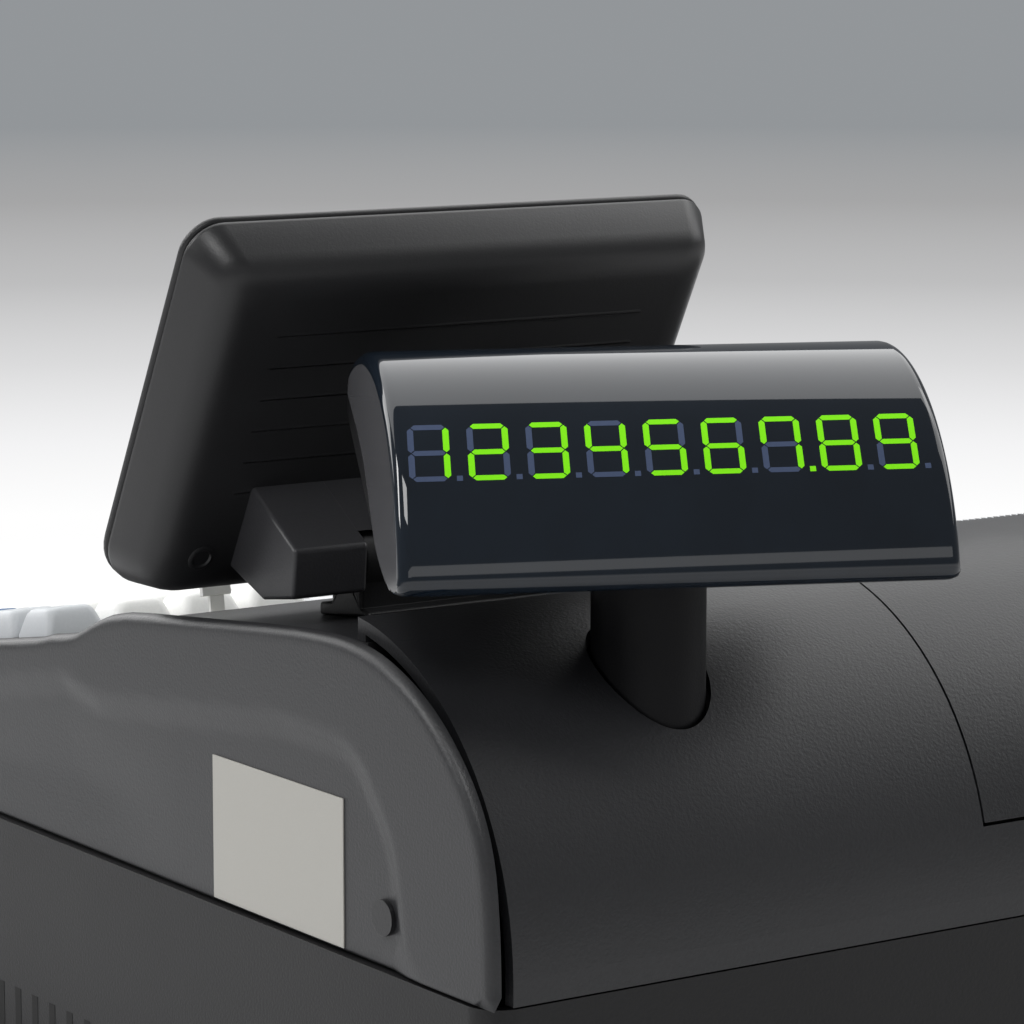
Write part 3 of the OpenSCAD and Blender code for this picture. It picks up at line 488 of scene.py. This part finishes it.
# ---------- customer display ----------
# the cover's front is an arc in the display's own Y-Z
ARC_C, ARC_R = (-16.5, 18.8), 51.1
DIGIT_PITCH = 12.7
POINT_AFTER = 6         # the place, from 0, whose point is lit


def curve_through(points, per=6):
    """Catmull-Rom through the points."""
    out = []
    p = [points[0], *points, points[-1]]
    for k in range(1, len(p) - 2):
        for i in range(per):
            t = i / per
            out.append(tuple(0.5 * (2 * b + (c - a) * t + (2 * a - 5 * b + 4 * c - d) * t * t
                                    + (3 * b - a - 3 * c + d) * t ** 3)
                             for a, b, c, d in zip(p[k - 1], p[k], p[k + 1], p[k + 2])))
    out.append(points[-1])
    return out


def half_width(z):
    """Half the cover's width, a little less towards its top."""
    return 60.5 - (z - 24) / 45.6 * 1.05


def pod_cover():
    """The smoked cover: its front arc, the line where it meets the back shell, and the lip below."""
    a0, a1, n = math.radians(9.6), math.radians(116.4), 60
    part = curve_through([(22.2, 24.3), (12, 26.6), (2, 31.1), (-6.5, 38.6), (-15.4, 46.4), (-27, 53.0),
                          (-39.2, 58.2)], 4)
    lip = [(33.2, 25.9), (31.8, 24.7), (29.5, 24.0), (26, 23.75), (23.6, 23.95)]
    r = 2.8

    def ring(side, dx, inset):
        """The cover's section, drawn in by inset and moved in by dx at one end."""
        pts = []
        for i in range(n + 1):
            a = a0 + (a1 - a0) * i / n
            rr = ARC_R - inset
            pts.append((ARC_C[0] + rr * math.cos(a), ARC_C[1] + rr * math.sin(a)))
        if inset:
            pts[-1] = (pts[-1][0], max(pts[-1][1], 58.4))
        for y, z in reversed(part):
            pts.append((y, z))
        for y, z in reversed(lip):
            pts.append((y - inset * 0.45, z + inset * 0.3))
        return [(side * (half_width(z) - dx), y, z) for y, z in pts]

    def rounding(side, degrees):
        a = math.radians(degrees)
        return ring(side, r * (1 - math.cos(a)), r * (1 - math.sin(a)))

    steps = [0, 12, 25, 40, 55, 70, 90]
    rings = [rounding(1, p) for p in steps] + [rounding(-1, p) for p in reversed(steps)]
    verts, faces = loft(rings, cap0=False, cap1=False)
    cover = put("customer_cover", verts, faces, "customer_display", "clear_cover", "cover", at=POD, smooth=50)
    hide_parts("customer_window")
    # the ends take the lighter end material, partly painted light
    ends = merged([loft([rings[0]], cap0=True, cap1=False), loft([rings[-1]], cap0=False, cap1=True)])
    put("customer_cover_ends", *ends, "customer_display", "clear_cover", "end", at=POD, smooth=20)


def pod_back():
    """The shell behind the cover, with its socket on the post, slits and screws."""
    half = 58.4
    part = curve_through([(22.2, 24.0), (12, 26.3), (2, 30.8), (-6.5, 38.3), (-15.4, 46.1), (-27, 52.7),
                          (-39.2, 57.8)], 4)
    top = []
    for i in range(7):
        v = -39.6 - (48 - 39.6) * i / 6
        top.append((v, ARC_C[1] + math.sqrt((ARC_R - 0.4) ** 2 - (v - ARC_C[0]) ** 2)))
    rear = [(-48, 54.5), (-47.2, 52.2), (-44, 49.7), (-23, 37.5), (-2, 25.6), (4, 24.6), (14, 24.0)]
    shell = put("customer_back", *prism(part + top + rear, -half, half), "customer_display",
                "dark_plastic", "dark", at=POD, bevel=1.4, segs=4)
    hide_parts("customer_shell")
    put("customer_socket", *turned([(0.5, 24.3), (14.6, 24.3), (15.6, 25.4), (15.6, 37), (0.5, 37.2)]),
        "customer_display", "dark_plastic", "dark", at=POD, smooth=40)
    slits = []
    for k in range(9):
        slits.append(slab(-40 + 10 * k, -48.02, 56.2, 6.5, 0.25, 0.9))
    put("customer_back_slits", *merged(slits), "customer_display", "dark_plastic", "gap", at=POD)
    head = [(0.6, 0), (2.6, 0), (2.6, 0.35), (2.2, 0.55), (0.6, 0.3)]
    screws = merged([turned(head, 24, (x, 0)) for x in (-48, 48)])
    lay = POD @ Matrix.Translation((0, -34, 43.86)) @ Matrix.Rotation(math.radians(180 - 30.1), 4, "X")
    put("customer_back_screws", *screws, "customer_display", "zinc_sheet", "zinc", at=lay)


# the segments that each digit lights
SEGS = {"0": "abcdef", "1": "bc", "2": "abged", "3": "abgcd", "4": "fgbc", "5": "afgcd", "6": "afgedc",
        "7": "fabc", "8": "abcdefg", "9": "abcdfg"}


def segment_shapes(w, h, t):
    """Outline of each of the seven segments, about the middle of the digit."""
    x, y, k, g = w / 2, h / 2, t / 2, t * 0.12

    def level(cy):
        return [(-x + k + g, cy), (-x + t + g, cy + k), (x - t - g, cy + k), (x - k - g, cy),
                (x - t - g, cy - k), (-x + t + g, cy - k)]

    def upright(cx, y0, y1):
        return [(cx, y0 + g), (cx + k, y0 + k + g), (cx + k, y1 - k - g), (cx, y1 - g),
                (cx - k, y1 - k - g), (cx - k, y0 + k + g)]

    c = y - k
    return {"a": level(c), "g": level(0), "d": level(-c),
            "f": upright(-x + k, 0, c), "b": upright(x - k, 0, c),
            "e": upright(-x + k, -c, 0), "c": upright(x - k, -c, 0)}


def strip_cut(poly, rows=8):
    """A convex outline cut into level strips, so that it can follow a curve."""
    ys = sorted({p[1] for p in poly})
    lo, hi = ys[0], ys[-1]
    cuts = sorted(set(ys) | {lo + (hi - lo) * i / rows for i in range(rows + 1)})
    n = len(poly)

    def span(y):
        """Where the outline begins and ends at height y."""
        xs = []
        for i in range(n):
            (x0, y0), (x1, y1) = poly[i], poly[(i + 1) % n]
            if min(y0, y1) - 1e-9 <= y <= max(y0, y1) + 1e-9:
                if abs(y1 - y0) < 1e-9:
                    xs += [x0, x1]
                else:
                    xs.append(x0 + (x1 - x0) * (y - y0) / (y1 - y0))
        return min(xs), max(xs)

    verts, faces = [], []
    for y in cuts:
        a, b = span(y)
        verts += [(a, y), (b, y)]
    for i in range(len(cuts) - 1):
        faces.append((2 * i, 2 * i + 1, 2 * i + 3, 2 * i + 2))
    return verts, faces


def pod_digits():
    """Nine digits and their points, carried from a leaning plane along lines of sight to the cover."""
    eye = POD.inverted() @ CAMERA
    lean = math.radians(46.5)
    shear = 0.08
    proud = 0.05

    def lay(x, y):
        """A digit's point (x, y) on the plane, then where its line of sight meets the cover."""
        x += shear * y
        p = Vector((-x, 15 - y * math.sin(lean), 52 + y * math.cos(lean)))
        d = (eye - p).normalized()
        dy, dz = p.y - ARC_C[0], p.z - ARC_C[1]
        a = d.y ** 2 + d.z ** 2
        b = 2 * (dy * d.y + dz * d.z)
        c = dy * dy + dz * dz - (ARC_R + proud) ** 2
        t = (-b + math.sqrt(b * b - 4 * a * c)) / (2 * a)
        return tuple(p + d * t)

    shapes = segment_shapes(8.9, 15.2, 1.35)
    parts = {"lit": [], "unlit": []}
    for i, ch in enumerate("123456789"):
        cx = (i - 4) * DIGIT_PITCH
        for s, poly in shapes.items():
            v, f = strip_cut([(x + cx, y) for x, y in poly])
            parts["lit" if s in SEGS[ch] else "unlit"].append(([lay(*p) for p in v], f))
        dot = [(cx + 5.6, -7.6), (cx + 6.9, -7.6), (cx + 6.9, -6.2), (cx + 5.6, -6.2)]
        v, f = strip_cut(dot, 3)
        parts["lit" if i == POINT_AFTER else "unlit"].append(([lay(*p) for p in v], f))
    for k, p in parts.items():
        put("customer_digits_" + k, *merged(p), "customer_display", "clear_cover", k, at=POD, smooth=60)


pod_cover()
pod_back()
pod_digits()


# ---------- operator display ----------
SCREEN_W, SCREEN_H = 142, 98.7
WINDOW_MID = 52.35      # height of the window's middle above the display's lower edge
LCD_PITCH = 11.2


def screen_ring(y, inset):
    """The display's outline at depth y; its corners tighten more slowly than it shrinks."""
    w, h = SCREEN_W - 2 * inset, SCREEN_H - 2 * inset
    tighten = inset * 0.45
    top, low = max(2.5, 8.5 - tighten), max(4, 13.5 - tighten)
    return [(x, y, z + SCREEN_H / 2) for x, z in corner_box(w, h, (top, top, low, low), 10)]


def operator_back():
    """The back shell with its faint ribs and screws, and the arms that reach down to the pin."""
    back_y = 14.0
    prof = [(0.25, 0.9), (0.35, 0.45), (0.8, 0.2), (1.6, 0.3), (9.0, 3.5), (10.4, 4.3), (11.6, 5.4),
            (12.6, 6.9), (13.3, 8.6), (13.8, 10.6), (back_y, 13.0)]
    shell = put("operator_back", *loft([screen_ring(y, d) for y, d in prof], cap0=False), "operator_display",
                "case_plastic", "smooth", at=SCREEN, smooth=60)
    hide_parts("operator_shell")
    ty, tz = TILT
    arm = [(ty - 8.0, tz + 17.4), (ty + 11.3, tz + 4.7), (ty + 10.3, tz - 6.5), (ty - 3.5, tz - 8.5),
           (ty - 19.5, tz - 2.3), (ty - 20.4, tz - 0.5), (ty - 12.5, tz + 16.8)]
    inner, outer, bridge_half = 25.7, 45.4, 26.5
    for side in (-1, 1):
        # the arms take the lighter arm material, which is painted light
        a, b = side * inner, side * outer
        put("operator_arm_" + ("right" if side > 0 else "left"),
            *prism(arm, SCREEN_X + min(a, b), SCREEN_X + max(a, b)),
            "operator_display", "case_plastic", "arm", bevel=2.6, segs=5)
    bridge = [(ty - 8.0, tz + 17.35), (ty + 7.6, tz + 7.1), (ty + 5.6, tz + 7.6), (ty - 2, tz + 9.6),
              (ty - 7, tz + 8), (ty - 9.3, tz + 3), (ty - 15.5, tz + 3.5), (ty - 12.5, tz + 16.8)]
    put("operator_arm_bridge", *prism(bridge, SCREEN_X - bridge_half, SCREEN_X + bridge_half),
        "operator_display", "case_plastic", "arm", bevel=0.5, segs=2)
    ribs = []
    for k in range(6):
        mid = 76 - 8.5 * k
        rings = []
        for rise, less in ((0.0, 0), (0.05, 0.5)):
            outline = corner_box(100 - less, 1.5 - less, (0.7,) * 4, 4)
            rings.append([(x, back_y + rise, z + mid) for x, z in outline])
        ribs.append(loft(rings, cap0=False))
    put("operator_back_ribs", *merged(ribs), "operator_display", "case_plastic", "smooth",
        at=SCREEN, smooth=50)
    head = [(0.8, 0.02), (3.4, 0.02), (3.4, 0.2), (2.9, 0.45), (2.4, 0.45), (2.0, 0.1), (0.8, 0.1)]
    screws = []
    for x, z in ((-54, 16), (54, 16)):
        v, f = turned(head, 28)
        screws.append(([(p[0] + x, back_y + p[2], p[1] + z) for p in v], f))
    put("operator_back_screws", *merged(screws), "operator_display", "dark_plastic", "dark",
        at=SCREEN, smooth=40)


def operator_front():
    """The bezel, and the liquid crystal face with its digits and two lines of sums."""
    prof = [(0.05, 0.75), (-0.2, 0.3), (-0.5, 0.05), (-1.4, 0.1), (-2.1, 0.55), (-2.6, 1.4), (-2.9, 2.6),
            (-3.0, 4.2)]
    rings = [screen_ring(y, d) for y, d in prof]
    for y, w, h, r in ((-3.0, 123, 67, 3.2), (-2.6, 122.2, 66.2, 2.8), (-1.04, 120.5, 64.5, 2.0)):
        rings.append([(x, y, z + WINDOW_MID) for x, z in corner_box(w, h, (r,) * 4, 10)])
    bezel = put("operator_front", *loft(rings, cap0=False, cap1=False), "operator_display",
                "dark_plastic", "dark", at=SCREEN, smooth=50)
    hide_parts("operator_bezel")
    face = SCREEN @ Matrix.Translation((0, -1.06, WINDOW_MID)) @ Matrix.Rotation(math.radians(90), 4, "X")
    put("operator_lcd_view", *loft([[(x, y, 0) for x, y in corner_box(112, 50, (1.5,) * 4, 6)],
                                    [(x, y, 0.03) for x, y in corner_box(111.6, 49.6, (1.4,) * 4, 6)]]),
        "operator_display", "clear_cover", "lcd", at=face)
    shapes = segment_shapes(7.6, 14, 1.5)
    ink_z, base_y = 0.05, -8
    dot = ((0, 0), (1.4, 0), (1.4, 1.4), (0, 1.4))
    on = []
    for i, ch in enumerate("123456789"):
        cx = (i - 4) * LCD_PITCH
        for s, poly in shapes.items():
            if s in SEGS[ch]:
                on.append(([(x + cx + y * 0.1, y + base_y, ink_z) for x, y in poly], [tuple(range(6))]))
        if i == POINT_AFTER:
            on.append(([(cx + 4.3 + x, -15 + y, ink_z) for x, y in dot], [(0, 1, 2, 3)]))
    put("operator_lcd_digits", *merged(on), "operator_display", "clear_cover", "ink", at=face)
    for row, text in enumerate(("1  x  2.50        2.50", "2  x  1.20        2.40")):
        lettering(f"operator_lcd_line_{row}", text, 6.2, face @ Matrix.Translation((0, 17 - 8.5 * row, 0.03)),
                  "operator_display", "clear_cover", "ink", 0.03)


operator_back()
operator_front()


# ---------- side panels ----------
PANEL_FOOT = 173.0      # height of the seam under the panel
PANEL_FACE = 180.0
FOOT_PARTS = 60
GRID = 2.2


def smoothstep(t):
    """From 0 to 1 with level ends."""
    t = min(1, max(0, t))
    return t * t * (3 - 2 * t)


def seg_dist(p, a, b):
    """How far p is from the stretch a to b."""
    ax, ay = b[0] - a[0], b[1] - a[1]
    t = ((p[0] - a[0]) * ax + (p[1] - a[1]) * ay) / max(1e-9, ax * ax + ay * ay)
    t = min(1, max(0, t))
    return math.hypot(p[0] - a[0] - t * ax, p[1] - a[1] - t * ay)


def inside(p, poly):
    """Whether p lies within a closed outline."""
    hit = False
    for i in range(len(poly)):
        (x0, y0), (x1, y1) = poly[i - 1], poly[i]
        if (y0 > p[1]) != (y1 > p[1]) and p[0] < (x1 - x0) * (p[1] - y0) / (y1 - y0) + x0:
            hit = not hit
    return hit


def dist_to(p, poly):
    """How far p is from a closed outline."""
    return min(seg_dist(p, poly[i - 1], poly[i]) for i in range(len(poly)))


def rounded_poly(points, radii, n=7):
    """A polygon with its corners rounded."""
    out = []
    m = len(points)
    for i, p in enumerate(points):
        r = radii[i]
        a, b = Vector(points[i - 1]) - Vector(p), Vector(points[(i + 1) % m]) - Vector(p)
        if r < 0.05:
            out.append(tuple(p))
            continue
        cut = min(r / math.tan(a.angle(b) / 2), a.length * 0.48, b.length * 0.48)
        q0, q1 = Vector(p) + a.normalized() * cut, Vector(p) + b.normalized() * cut
        for k in range(n + 1):
            t = k / n
            out.append(tuple(q0 * (1 - t) ** 2 + Vector(p) * 2 * t * (1 - t) + q1 * t * t))
    return out


def panel_outline():
    """The panel's edge in Y-Z: deck slope, step, top line, then one sweep down the rear."""
    rise_per_mm = math.tan(DECK_SLOPE)
    nose = rounded_poly([(-200, PANEL_FOOT), (-200, 182.6), (-198, 187.4), (-193, 189.0)], (0, 2, 3, 3))
    slope = [(-193 + k * 10, 189.0 + k * 10 * rise_per_mm) for k in range(1, 20)]
    rise = curve_through([(4, 223.1), (14.3, 224.9), (19.6, 226.7), (24.8, 229), (32.6, 231.9),
                          (42, 233.9)], 4)
    flat = [(y, 233.2 + (y - 33.5) * 0.1019) for y in range(50, 112, 8)]
    rear = curve_through([(118, 241.7), (135, 242.4), (148, 241.2), (158, 238.4), (168, 233.9), (178, 226.8),
                          (187.5, 216.5), (193.3, 204.5), (195.5, 189), (196, PANEL_FOOT)], 4)
    return nose + [p for p in slope if p[0] < 0] + rise + flat + rear


# the shallow field pressed into the panel, in Y-Z
RECESS = rounded_poly([(-186, 168), (-186, 177.5), (11, 214), (28, 211.2), (112, 220.8), (143, 219.8),
                       (158.5, 201), (165, 168)], (0, 5, 14, 18, 30, 18, 22, 0), 8)


def evenly_spaced(outline):
    """The outline without doubled points, its long edges cut into steps of 2 mm or a little more."""
    pts, seen = [], set()
    for p in outline:
        key = (round(p[0], 2), round(p[1], 2))
        if key not in seen:
            seen.add(key)
            pts.append(p)
    dense = []
    for i, p in enumerate(pts):
        q = pts[(i + 1) % len(pts)]
        along_foot = max(p[1], q[1]) < PANEL_FOOT + 0.01
        parts = FOOT_PARTS if along_foot else max(1, int(math.hypot(q[0] - p[0], q[1] - p[1]) / 2.0))
        dense += [(p[0] + (q[0] - p[0]) * k / parts, p[1] + (q[1] - p[1]) * k / parts) for k in range(parts)]
    return dense


def face_points(pts):
    """Points for the panel's face: close lines inside its edge, then a staggered grid."""
    n = len(pts)
    coords = list(pts)
    for step in (0.35, 0.9, 1.7, 2.6, 4.0):
        for i in range(n):
            a, b, c = Vector(pts[i - 1]), Vector(pts[i]), Vector(pts[(i + 1) % n])
            t = (c - a).normalized()
            q = b + Vector((t.y, -t.x)) * step
            if inside(q, pts) and abs(dist_to(q, pts) - step) < 0.15:
                coords.append(tuple(q))
    y = -198.0
    while y < 196:
        z = 175.0
        while z < 250:
            q = (y + (GRID / 2 if int(z / GRID) % 2 else 0), z)
            if inside(q, pts) and dist_to(q, pts) > 4.8:
                coords.append(q)
            z += GRID
        y += GRID
    return coords


def face_x(p, pts):
    """How far out the panel's face stands at p: a rounded edge, sharper at the foot, and the recess."""
    r, r_foot = 2.6, 0.8
    d = dist_to(p, pts)
    x = PANEL_FACE
    if d < r and p[1] - PANEL_FOOT >= r:
        x -= r - math.sqrt(max(0, r * r - (r - d) ** 2))
    elif d < r_foot:
        x -= r_foot - math.sqrt(max(0, r_foot * r_foot - (r_foot - d) ** 2))
    s = dist_to(p, RECESS) * (1 if inside(p, RECESS) else -1)
    x -= 1.45 * smoothstep((s + 0.6) / 4.5)
    x -= 0.9 * smoothstep(s / 26) * smoothstep((66 - p[0]) / 40)
    return x


def side_panel(side):
    """One side panel: its pressed face with the edge turned in, open behind."""
    pts = evenly_spaced(panel_outline())
    n = len(pts)
    edges = [(i, (i + 1) % n) for i in range(n)]
    vs, _, fs, *_ = delaunay_2d_cdt([Vector(c) for c in face_points(pts)], edges, [], 1, 1e-4)
    verts = [(side * face_x((v[0], v[1]), pts), v[0], v[1]) for v in vs]
    faces = [tuple(f) for f in fs]
    ob = put("side_panel_" + ("r" if side > 0 else "l"), verts, faces, "register", "case_plastic", "case",
             smooth=60)
    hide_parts("side_panel_right" if side > 0 else "side_panel_left")


side_panel(1)
side_panel(-1)


# ---------- keyboard ----------
PITCH, KEY_W = 20.0, 17.5
# name, column, row, columns wide, rows high, legend
KEYS = [("7", 0, 0, 1, 1, "7"), ("8", 1, 0, 1, 1, "8"), ("9", 2, 0, 1, 1, "9"), ("multiply", 3, 0, 1, 1, "x"),
        ("4", 0, 1, 1, 1, "4"), ("5", 1, 1, 1, 1, "5"), ("6", 2, 1, 1, 1, "6"), ("clear", 3, 1, 1, 1, "C"),
        ("1", 0, 2, 1, 1, "1"), ("2", 1, 2, 1, 1, "2"), ("3", 2, 2, 1, 1, "3"),
        ("0", 0.5, 3, 2, 1, "0"), ("00", 2, 3, 1, 1, "00"), ("cash", 3, 2.5, 1, 2, "CASH")]


def key_cap(name, col, row, kw, kh, legend):
    """A dished cap with its flange and legend, over one key of the CAD."""
    w, h = KEY_W + (kw - 1) * PITCH, KEY_W + (kh - 1) * PITCH
    at = DECK @ Matrix.Translation((122 + (col - 1.5) * PITCH, -66 - row * PITCH, 0))
    # height, inset and corner radius
    prof = [(-4.6, 0, 2.0), (-0.5, 0.0, 2.0), (0.6, 0.1, 2.1), (4.6, 1.35, 2.6), (5.9, 1.9, 2.8),
            (6.6, 2.5, 3.0), (6.92, 3.2, 3.2), (6.8, 4.1, 3.0), (6.45, 5.4, 2.6), (6.3, 6.8, 1.6)]
    rings = [[(x, y, z) for x, y in corner_box(w - 2 * i, h - 2 * i, (r,) * 4, 6)] for z, i, r in prof]
    mat = {"multiply": "key_grey", "clear": "key_grey", "cash": "key_blue"}.get(name, "key")
    cap = put("cap_" + name, *loft(rings, cap0=False), "button_" + name, "key_caps", mat, at=at, smooth=60)
    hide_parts("key_" + name)
    flange = [[(x, y, z) for x, y in corner_box(w + 1.4, h + 1.4, (1.0,) * 4, 3)] for z in (-5.0, -3.7)]
    put("flange_" + name, *loft(flange), "button_" + name, "key_caps", mat, at=at)
    size = {"cash": 3.6, "00": 6.2}.get(name, 7.6)
    ink = "ink_pale" if mat == "key_blue" else "ink"
    lettering("legend_" + name, legend, size, at @ Matrix.Translation((0, 0, 6.33)), "button_" + name,
              "key_caps", ink, 0.05)


for k in KEYS:
    key_cap(*k)


def overlay():
    """The flat key field: raised pads in a thin sheet, without words."""
    lower, upper = [], []
    for i in range(9):
        for j in range(7):
            x, y = -50 + (i - 4) * 25.2, -110 + (j - 3) * 25.6
            rings = [[(x + a, y + b, z) for a, b in corner_box(22 - d, 22 - d, (2.4,) * 4, 4)]
                     for z, d in ((0.79, 0), (1.05, 0.25), (1.22, 0.9), (1.27, 2.0))]
            rows = lower if j < 5 else upper
            rows.append(loft(rings, cap0=False))
    put("overlay_pads", *merged(lower), "register", "membrane", "membrane", at=DECK, smooth=60)
    put("overlay_pads_upper", *merged(upper), "register", "membrane", "pad_upper", at=DECK, smooth=60)


overlay()


# ---------- mode lock ----------
def mode_lock():
    """The lock's ring and marks on the deck, and the key with its round bow."""
    at = DECK @ Matrix.Translation((138, -10, 0))
    ring = turned([(6.1, 0.2), (6.1, 1.2), (6.5, 1.62), (7.6, 1.66), (9.0, 1.2), (9.5, 0.3), (9.5, 0.0)], 64,
                  caps=False)
    put("mode_lock_ring", *ring, "register", "bright_metal", "bright", at=at, smooth=40)
    bow_r, bow_z, half_t = 9.3, 19, 0.85
    angles = [2 * math.pi * i / 40 for i in range(40)]
    bow = [(bow_r * math.cos(a), bow_r * math.sin(a) * 0.96) for a in angles]
    hole = [(2.6 * math.cos(a), 4.4 + 2.5 * math.sin(a)) for a in angles]

    def bow_ring(y, inset):
        k = 1 - inset / bow_r
        return [(x * k, y, bow_z + z * k) for x, z in bow]

    front = [bow_ring(y, d) for y, d in ((-0.55, 0.3), (-half_t, 0.75), (-half_t, 1.6))]
    inner = [[(x, y, bow_z + z) for x, z in hole] for y in (-half_t, half_t)]
    rear = [bow_ring(y, d) for y, d in ((half_t, 1.6), (half_t, 0.75), (0.55, 0.3), (0, 0), (-0.55, 0.3))]
    v, f = loft(front + inner + rear, cap0=False, cap1=False)
    blade = prism([(-0.6, -7.8), (0.6, -7.8), (0.6, 10.6), (-0.6, 10.6)], -2.0, 2.0)
    shoulder = prism([(-0.8, 6.9), (0.8, 6.9), (0.8, 11.2), (-0.8, 11.2)], -4.0, 4.0)
    key = put("mode_key_blade", *merged([blade, shoulder]), "operator_key", "bright_metal", "key_metal",
              at=at, bevel=0.2, segs=2)
    put("mode_key_bow", v, f, "operator_key", "bright_metal", "key_metal", at=at, smooth=50)
    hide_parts("mode_key")
    marks = []
    for degrees in (60, 90, 120):
        spin = Matrix.Rotation(math.radians(degrees), 4, "Z")
        v, f = slab(12.2, 0, 0.02, 2.2, 0.5, 0.05)
        marks.append(([tuple(spin @ Vector(p)) for p in v], f))
    put("mode_marks", *merged(marks), "register", "case_plastic", "ink_pale", at=at)


mode_lock()


# ---------- printer ----------
def crown_top(y):
    """Height of the crown, which runs on level from the top of the dome."""
    crown_r, top_y, top_z = 190.0, 126.0, 246.8
    return top_z - crown_r + math.sqrt(crown_r ** 2 - (y - top_y) ** 2)


def tear_bar():
    """A thin toothed strip on the cover, along the paper slot."""
    edge_y, depth = 88.2, 2.6
    teeth, width, left = 31, 63, -96.5
    m = teeth * 2 + 1
    xs = [left + width * i / (2 * teeth) for i in range(m)]
    tips = [(x, edge_y + (0.0 if i % 2 else 0.9), crown_top(edge_y) + 0.25) for i, x in enumerate(xs)]
    root = [(x, edge_y - depth, crown_top(edge_y - depth) + 0.02) for x in xs]
    faces = [(i, i + 1, m + i + 1, m + i) for i in range(m - 1)]
    ob = put("tear_bar", tips + root, faces, "cover", "zinc_sheet", "zinc", smooth=30)
    s = ob.modifiers.new("thick", "SOLIDIFY")
    s.thickness = 0.6 * MM


def receipt():
    """The end of the paper, standing in the slot just below the crown."""
    foot_z = 235.2
    rows = []
    for k in range(13):
        t = k / 12
        y = 91.2 - 1.5 * t * t
        z = foot_z + (crown_top(90) - 0.6 - foot_z) * t
        rows.append([(x, y, z) for x in (-93.7, -80, -65, -50, -36.3)])
    verts = [p for r in rows for p in r]
    faces = [(5 * k + i, 5 * k + i + 1, 5 * k + i + 6, 5 * k + i + 5) for k in range(12) for i in range(4)]
    ob = put("receipt_end", verts, faces, "cover", "paper", "paper", smooth=80)
    s = ob.modifiers.new("thick", "SOLIDIFY")
    s.thickness = 0.12 * MM


tear_bar()
receipt()


# ---------- mains inlet, case details ----------
def inlet():
    """The mains inlet: a flanged socket with three pins."""
    x, z = -135, 130
    # depth, width, height and corner radius, from the flange into the socket
    prof = [(195.0, 34, 24, 3), (196.4, 34, 24, 3), (197.0, 33, 23, 2.6), (197.1, 23.6, 15.6, 3.0),
            (196.6, 22.0, 14.0, 2.4), (178.5, 21.6, 13.6, 2.2)]
    rings = [[(x + a, y, z + b) for a, b in corner_box(w, h, (r,) * 4, 5)] for y, w, h, r in prof]
    ob = put("inlet_body", *loft(rings, cap0=False), "register", "dark_plastic", "dark", smooth=40)
    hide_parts("power_inlet")
    v, f = turned([(0.3, 0), (1.2, 0), (1.2, 12.4), (0.8, 13.2), (0.3, 13.4)], 20)
    pins = []
    for dx, dz in ((-7, -1), (0, 3), (7, -1)):
        pins.append(([(x + dx + px, 178 + pz, z + dz + py) for px, py, pz in v], f))
    put("inlet_pins", *merged(pins), "register", "bright_metal", "brass", smooth=40)


def vents():
    """Rows of dark slits in the rear and in both sides of the lower case."""
    depth = 0.12
    rear = [slab(-60 + 9.5 * k, 195.02, 128, 3.2, depth, 30) for k in range(14)]
    put("rear_vents", *merged(rear), "register", "case_plastic", "gap")
    sides = [slab(s * 180.02, -60 + 9.0 * k, 122, depth, 3.0, 18) for s in (-1, 1) for k in range(12)]
    put("side_vents", *merged(sides), "register", "case_plastic", "gap")


inlet()
vents()


scene = bpy.context.scene
scene.view_settings.view_transform = "Standard"
bpy.context.view_layer.update()
